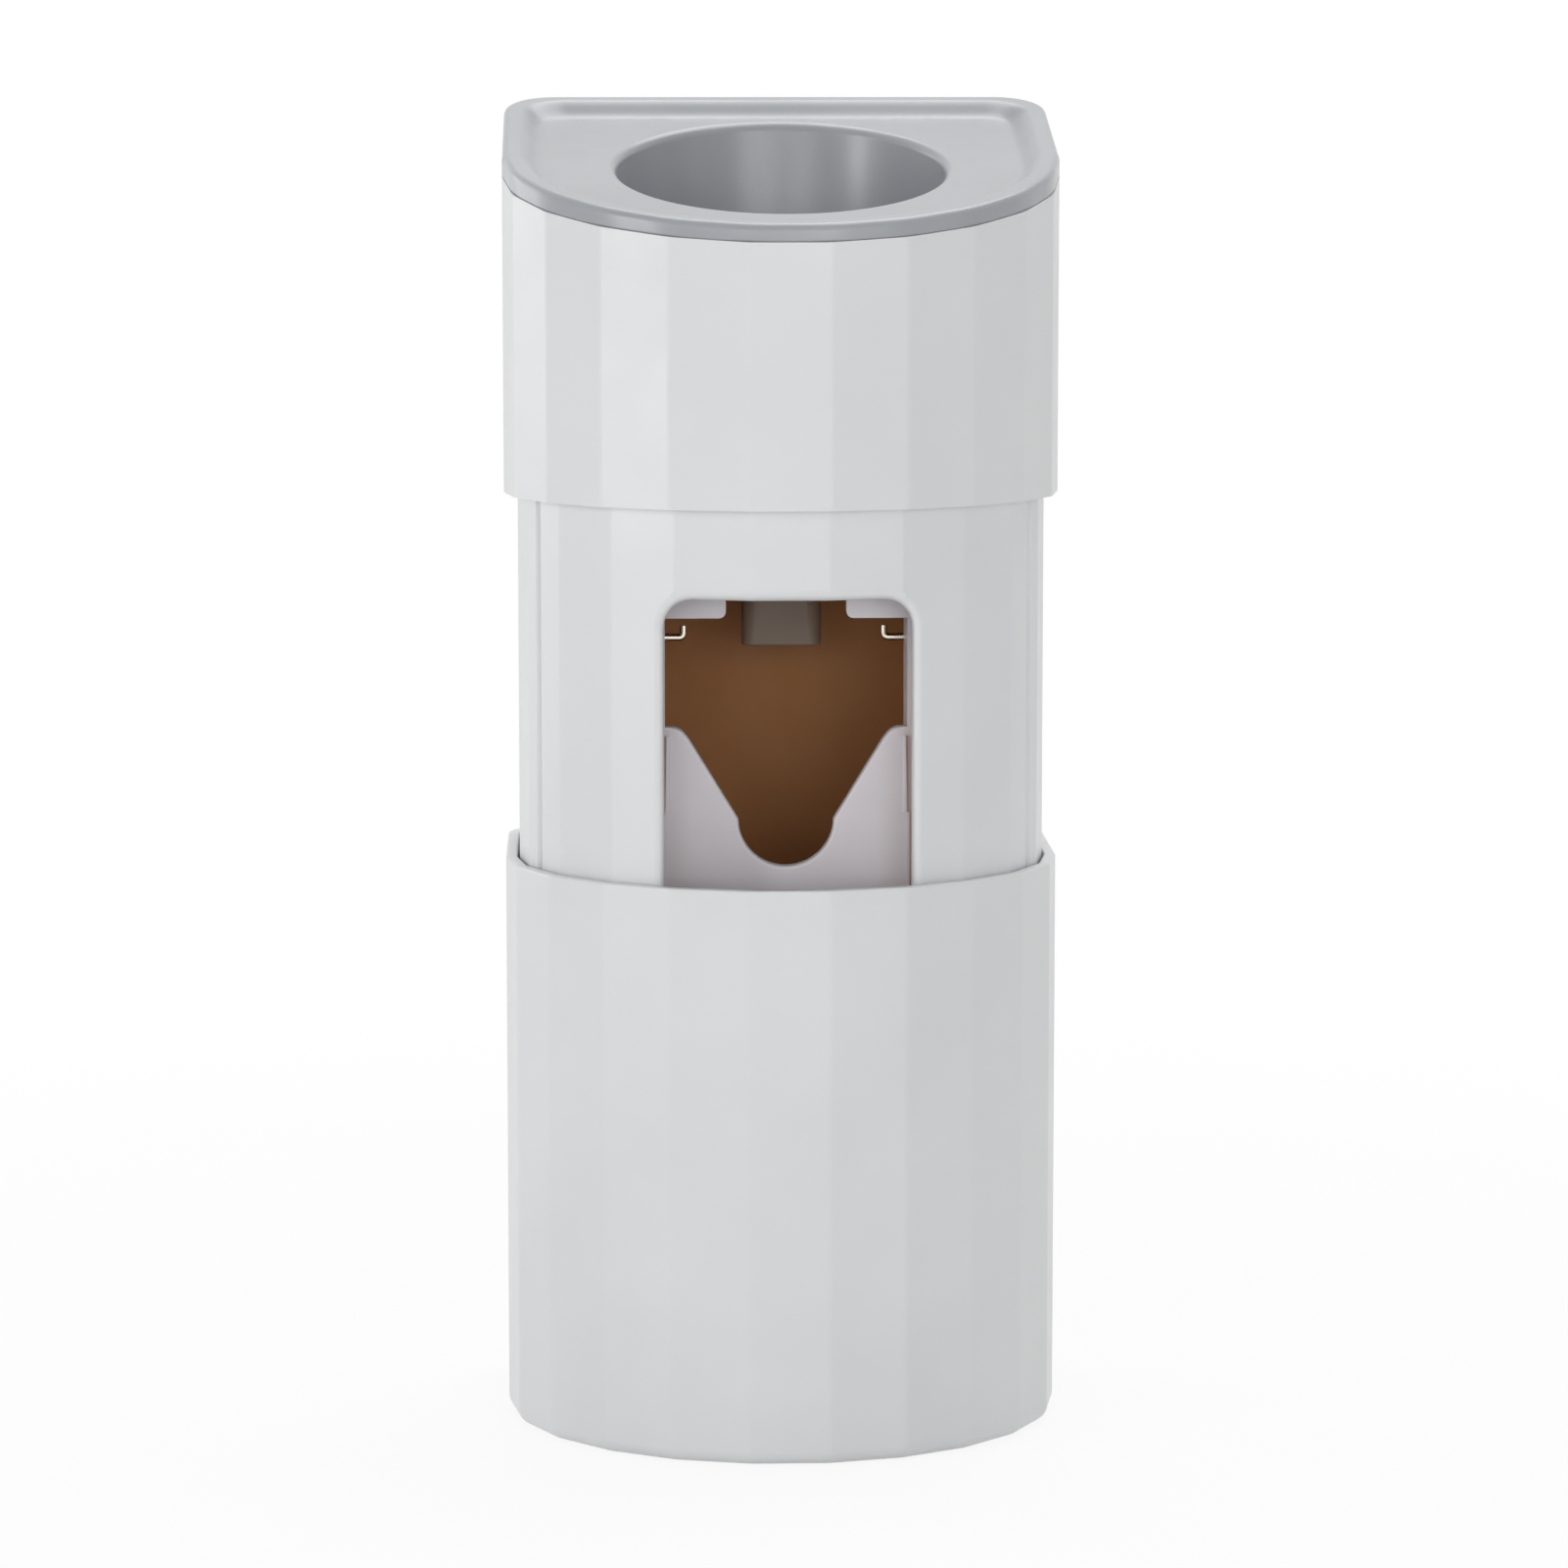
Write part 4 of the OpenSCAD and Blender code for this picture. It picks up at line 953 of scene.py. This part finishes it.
def bend_on(bm, end, centre, axis, turn, steps, shift=(0, 0, 0)):
    """Spins the wire's end round a bend, and along by shift for each step."""
    made = bmesh.ops.spin(bm, geom=with_rim([end]), cent=centre, axis=axis, dvec=shift, angle=turn,
                          steps=steps, use_duplicate=False)["geom_last"]
    return only(BMFace, made)[0]


# %% Return springs
WIRE_R, BEND, SPRING_GAP = 0.5, 0.6, 0.4  # radius of the wire and its bends, gap to the lever
COIL_R, COIL_PITCH, COIL_TURNS, COIL_STEPS = 2.4, 1.5, 1.75, 24
HOOK_Z, TIP_X, TIP_RISE = 59.2, 13.6, 1.6
SPRING_X, LEG_Y, SHORT_LEG = LEVER_HALF + SPRING_GAP + WIRE_R, PIVOT_Y + COIL_R, 8
LEG_STEPS = 16  # the leg has enough rings to bend smoothly
QUARTER = (0, 1, 0), -math.pi / 2, 6  # axis, angle and steps of the hook's two bends

for side, name in SIDES:
    bm = bmesh.new()
    tip = bmesh.ops.create_circle(bm, segments=12, radius=WIRE_R, cap_ends=True)["verts"]
    bmesh.ops.translate(bm, verts=tip, vec=(TIP_X, LEG_Y, HOOK_Z + TIP_RISE))
    end = run_on(bm, tip[0].link_faces[0], (0, 0, BEND - TIP_RISE))
    end = bend_on(bm, end, (TIP_X + BEND, LEG_Y, HOOK_Z + BEND), *QUARTER)
    end = run_on(bm, end, (SPRING_X - TIP_X - 2 * BEND, 0, 0), 3)
    end = bend_on(bm, end, (SPRING_X - BEND, LEG_Y, HOOK_Z + BEND), *QUARTER)
    end = run_on(bm, end, (0, 0, PIVOT_Z - HOOK_Z - BEND), LEG_STEPS)
    end = bend_on(bm, end, (0, PIVOT_Y, PIVOT_Z), (1, 0, 0), math.tau * COIL_TURNS,
                  int(COIL_TURNS * COIL_STEPS), (COIL_PITCH / COIL_STEPS, 0, 0))
    end = run_on(bm, end, (0, SHORT_LEG, 0), 2)
    print(name, "spring ends at, mm:", [round(c, 2) for c in end.calc_center_median()])
    bmesh.ops.scale(bm, verts=bm.verts, vec=(side, 1, 1))
    spring = finish_piece(bm, f"{name}_spring_wire", None, drawn_wire,
                          [f"{name}_return_spring"])
    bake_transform(spring)

# %% [markdown]
# ## Screws
# Eight small countersunk screws. One is turned, its cross recess is cut by four pairs of planes
# in the head's flat and pushed in, its thread is a thin wedge spun down the core, and copies go
# to the four places of each set.

# %% One screw
HEAD_R, HEAD_T, CORE_R, THREAD_R, SCREW_LEN = 2.8, 1.2, 1.1, 1.4, 7.5
NECK_H, POINT_H, POINT_R = 0.4, 0.6, 0.4
CROSS_REACH, CROSS_HALF, CROSS_DEPTH = 1.5, 0.35, 0.6
THREAD_Z, THREAD_HALF, THREAD_PITCH, THREAD_TURNS, THREAD_STEPS = -1.95, 0.25, 0.8, 5.5, 16


def screw(bm):
    """A screw with its head's face at the origin, its shank down along z."""
    turned(bm, [(0, 0), (HEAD_R, 0), (THREAD_R, -HEAD_T), (CORE_R, -HEAD_T - NECK_H),
                (CORE_R, -SCREW_LEN + POINT_H), (POINT_R, -SCREW_LEN), (0, -SCREW_LEN)], 32)
    crown = [f for f in bm.faces if all(v.co.z > -0.001 for v in f.verts)]
    crown = bmesh.ops.dissolve_faces(bm, faces=crown)["region"]
    for direction in ((1, 0, 0), (0, 1, 0)):
        for place in (-CROSS_REACH, -CROSS_HALF, CROSS_HALF, CROSS_REACH):
            crown = sliced(bm, crown, Vector(direction) * place, direction)
    middles = {f: f.calc_center_median() for f in crown}
    cross = [f for f, c in middles.items() if min(abs(c.x), abs(c.y)) < CROSS_HALF
             and max(abs(c.x), abs(c.y)) < CROSS_REACH]
    pushed = bmesh.ops.extrude_face_region(bm, geom=with_rim(cross))["geom"]
    bmesh.ops.translate(bm, verts=only(BMVert, pushed), vec=(0, 0, -CROSS_DEPTH))
    root_r = CORE_R - 0.1
    wedge = [bm.verts.new(p) for p in ((root_r, 0, THREAD_Z - THREAD_HALF), (THREAD_R, 0, THREAD_Z),
                                       (root_r, 0, THREAD_Z + THREAD_HALF))]
    bmesh.ops.spin(bm, geom=[bm.faces.new(wedge)], cent=(0, 0, 0), axis=(0, 0, 1),
                   dvec=(0, 0, -THREAD_PITCH / THREAD_STEPS), angle=math.tau * THREAD_TURNS,
                   steps=int(THREAD_TURNS * THREAD_STEPS), use_duplicate=False)


# %% Two sets of four screws
HEAD_Y = 29.1  # the heads' faces, seen from the back
SCREW_SETS = {"back_plate_screws": (26, (12.5, 105.9)), "frame_screws": (20, (62, 100))}
FACE_BACK = Matrix.Translation((0, HEAD_Y, 0)) @ Matrix.Rotation(-math.pi / 2, 4, "X")

for name, (half_apart, heights) in SCREW_SETS.items():
    places = [(x, 0, z) for x in (-half_apart, half_apart) for z in heights]
    bm = bmesh.new()
    screw(bm)
    bmesh.ops.transform(bm, matrix=FACE_BACK, verts=bm.verts)
    first = list(bm.verts) + list(bm.edges) + list(bm.faces)
    for place in places[1:]:
        copy = bmesh.ops.duplicate(bm, geom=first)["geom"]
        bmesh.ops.translate(bm, verts=only(BMVert, copy), vec=place)
    bmesh.ops.translate(bm, verts=only(BMVert, first), vec=places[0])
    finish_piece(bm, name + "_plated", "dispenser", zinc_plate, [name])

# %% [markdown]
# ## Floor
# A plain sheet of white paper. The camera sees it almost white, as in a picture taken for a
# catalogue, but the light that reaches the object from below still comes from real paper, and
# near the object a part of its shading stays, so the dispenser's shadow shows.

# %% Floor
FLOOR_HALF_M, FLOOR_GAP_M = 4, 0.0002  # a hair under the object, so that they don't flicker

bm = bmesh.new()
bmesh.ops.create_grid(bm, x_segments=1, y_segments=1, size=FLOOR_HALF_M)
bmesh.ops.translate(bm, verts=bm.verts, vec=(0, 0, cad_low.z - FLOOR_GAP_M))
floor_mesh = bpy.data.meshes.new("floor")
bm.to_mesh(floor_mesh)
bm.free()
add_object("floor", floor_mesh)
print("the floor lies under the middle of the wall plate, mm:", in_mm([-cad_low.z]))

# %% White paper
FIBRE_MM = 40  # cloudiness of the sheet
SHADE_FROM, SHADE_TO, SHADE_LEFT = 100, 350, 0.15  # mm from the wall mount; share of its shading


def seen_ray(tree):
    """1 for what the camera sees, also in a mirror or through glass, and 0 for other light."""
    path = add_node(tree, "LightPath").outputs
    seen = add_node(tree, "Math", {"operation": "MAXIMUM"},
                    {0: path["Is Camera Ray"], 1: path["Is Glossy Ray"]})
    seen = add_node(tree, "Math", {"operation": "MAXIMUM"},
                    {0: seen.outputs[0], 1: path["Is Transmission Ray"]})
    return seen.outputs[0]


paper, tree, place = new_material("white_studio_paper")
fibre = add_node(tree, "TexNoise", {"Scale": 1 / FIBRE_MM, "Detail": 4}, {"Vector": place})
tint = add_node(tree, "ValToRGB", links={"Fac": fibre.outputs["Fac"]},
                stops=[(0.35, "#F2F2F2"), (0.65, "#F5F5F5")])
diffuse = add_node(tree, "BsdfDiffuse", links={"Color": tint.outputs["Color"]})
glow = add_node(tree, "Emission", {"Color": linear("#FFFFFF"), "Strength": 1.0})
away = add_node(tree, "VectorMath", {"operation": "LENGTH"}, {0: place})
white_share = add_node(tree, "MapRange", {"From Min": SHADE_FROM, "From Max": SHADE_TO,
                                          "To Min": 1 - SHADE_LEFT, "To Max": 1.0},
                       {"Value": away.outputs["Value"]})
share = add_node(tree, "Math", {"operation": "MULTIPLY"},
                 {0: seen_ray(tree), 1: white_share.outputs["Result"]})
both = add_node(tree, "MixShader", links={"Fac": share.outputs[0], 1: diffuse.outputs[0],
                                          2: glow.outputs[0]})
add_node(tree, "OutputMaterial", links={"Surface": both.outputs[0]})
floor_mesh.materials.append(paper)

# %% [markdown]
# ## Light
# Soft light from all round lifts the whole object to the level at which a colour looks as it is
# written, and seven softboxes shape it. The tall strip on the left gives the flat that mirrors it
# its brighter tone, and a fill behind it lights the left side. A faint strip on the right keeps
# the right edge from going dull. A broad box in front and above models the flats. Two small ones
# close to the camera, a light and a fill, reach the throat behind the window. The large one above
# brings out the rim and the well of the tray.

# %% Lamps
AIM = Vector((0, -0.03, -0.06))


def softbox(name, location, size, power):
    """A rectangular lamp that looks at the object, with its size in metres and power in watts."""
    data = bpy.data.lights.new(name, "AREA")
    data.shape, data.size, data.size_y, data.energy = "RECTANGLE", size[0], size[1], power
    lamp = add_object(name, data)
    lamp.location = location
    away = Vector(location) - AIM
    lamp.rotation_euler = away.to_track_quat("Z", "Y").to_euler()
    print(f"{name}: {power} W, {round(away.length, 2)} m away")


softbox("left strip", (-1.1, -0.69, -0.1), (0.16, 1.4), 6.4)
softbox("side fill", (-1.1, 0.8, 0.2), (0.6, 0.9), 2.6)
softbox("right strip", (1.15, -0.66, 0.0), (0.2, 1.3), 0.5)
softbox("front softbox", (0.28, -1.4, 0.8), (1.0, 0.8), 1.0)
softbox("throat light", (0.36, -1.46, 0.14), (0.7, 0.5), 2.9)
softbox("throat fill", (-0.4, -1.44, 0.14), (0.5, 0.4), 1.5)
softbox("top softbox", (0.2, 0.5, 1.4), (1.2, 1.2), 12.0)

# %% Light from all round
AMBIENT = 0.4

world = bpy.data.worlds.new("studio")
bpy.context.scene.world = world
world.use_nodes = True
tree = world.node_tree
tree.nodes.clear()
ambient = add_node(tree, "Background", {"Color": linear("#FFFFFF"), "Strength": AMBIENT})
white = add_node(tree, "Background", {"Color": linear("#FFFFFF"), "Strength": 1.0})
both = add_node(tree, "MixShader", links={"Fac": seen_ray(tree), 1: ambient.outputs[0],
                                          2: white.outputs[0]})
add_node(tree, "OutputWorld", links={"Surface": both.outputs[0]})
print("light from all round, of the white that the camera sees:", AMBIENT)

# %% [markdown]
# ## Camera
# The photograph's view of the open dispenser, from about eighty centimetres, a little to the left
# and above. It was found by fitting one camera to that view's corners, and is aimed at the middle
# of the object, so that the object fills the frame.

# %% Camera
CAMERA_AT, LOOKS_AT = Vector((-0.0266, -0.8166, 0.0372)), Vector((0.0004, -0.0326, -0.0642))
LENS_MM, SENSOR_MM = 131.5, 36

camera_data = bpy.data.cameras.new("photo camera")
camera = add_object("photo camera", camera_data)
bpy.context.scene.camera = camera
camera_data.sensor_width, camera_data.lens = SENSOR_MM, LENS_MM
camera_data.clip_start, camera_data.clip_end = 0.01, 50
camera.location = CAMERA_AT
camera.rotation_euler = (LOOKS_AT - CAMERA_AT).to_track_quat("-Z", "Y").to_euler()
bpy.context.scene.view_settings.view_transform = "Standard"
print("the camera is, m, from what it looks at:", round((LOOKS_AT - CAMERA_AT).length, 3))
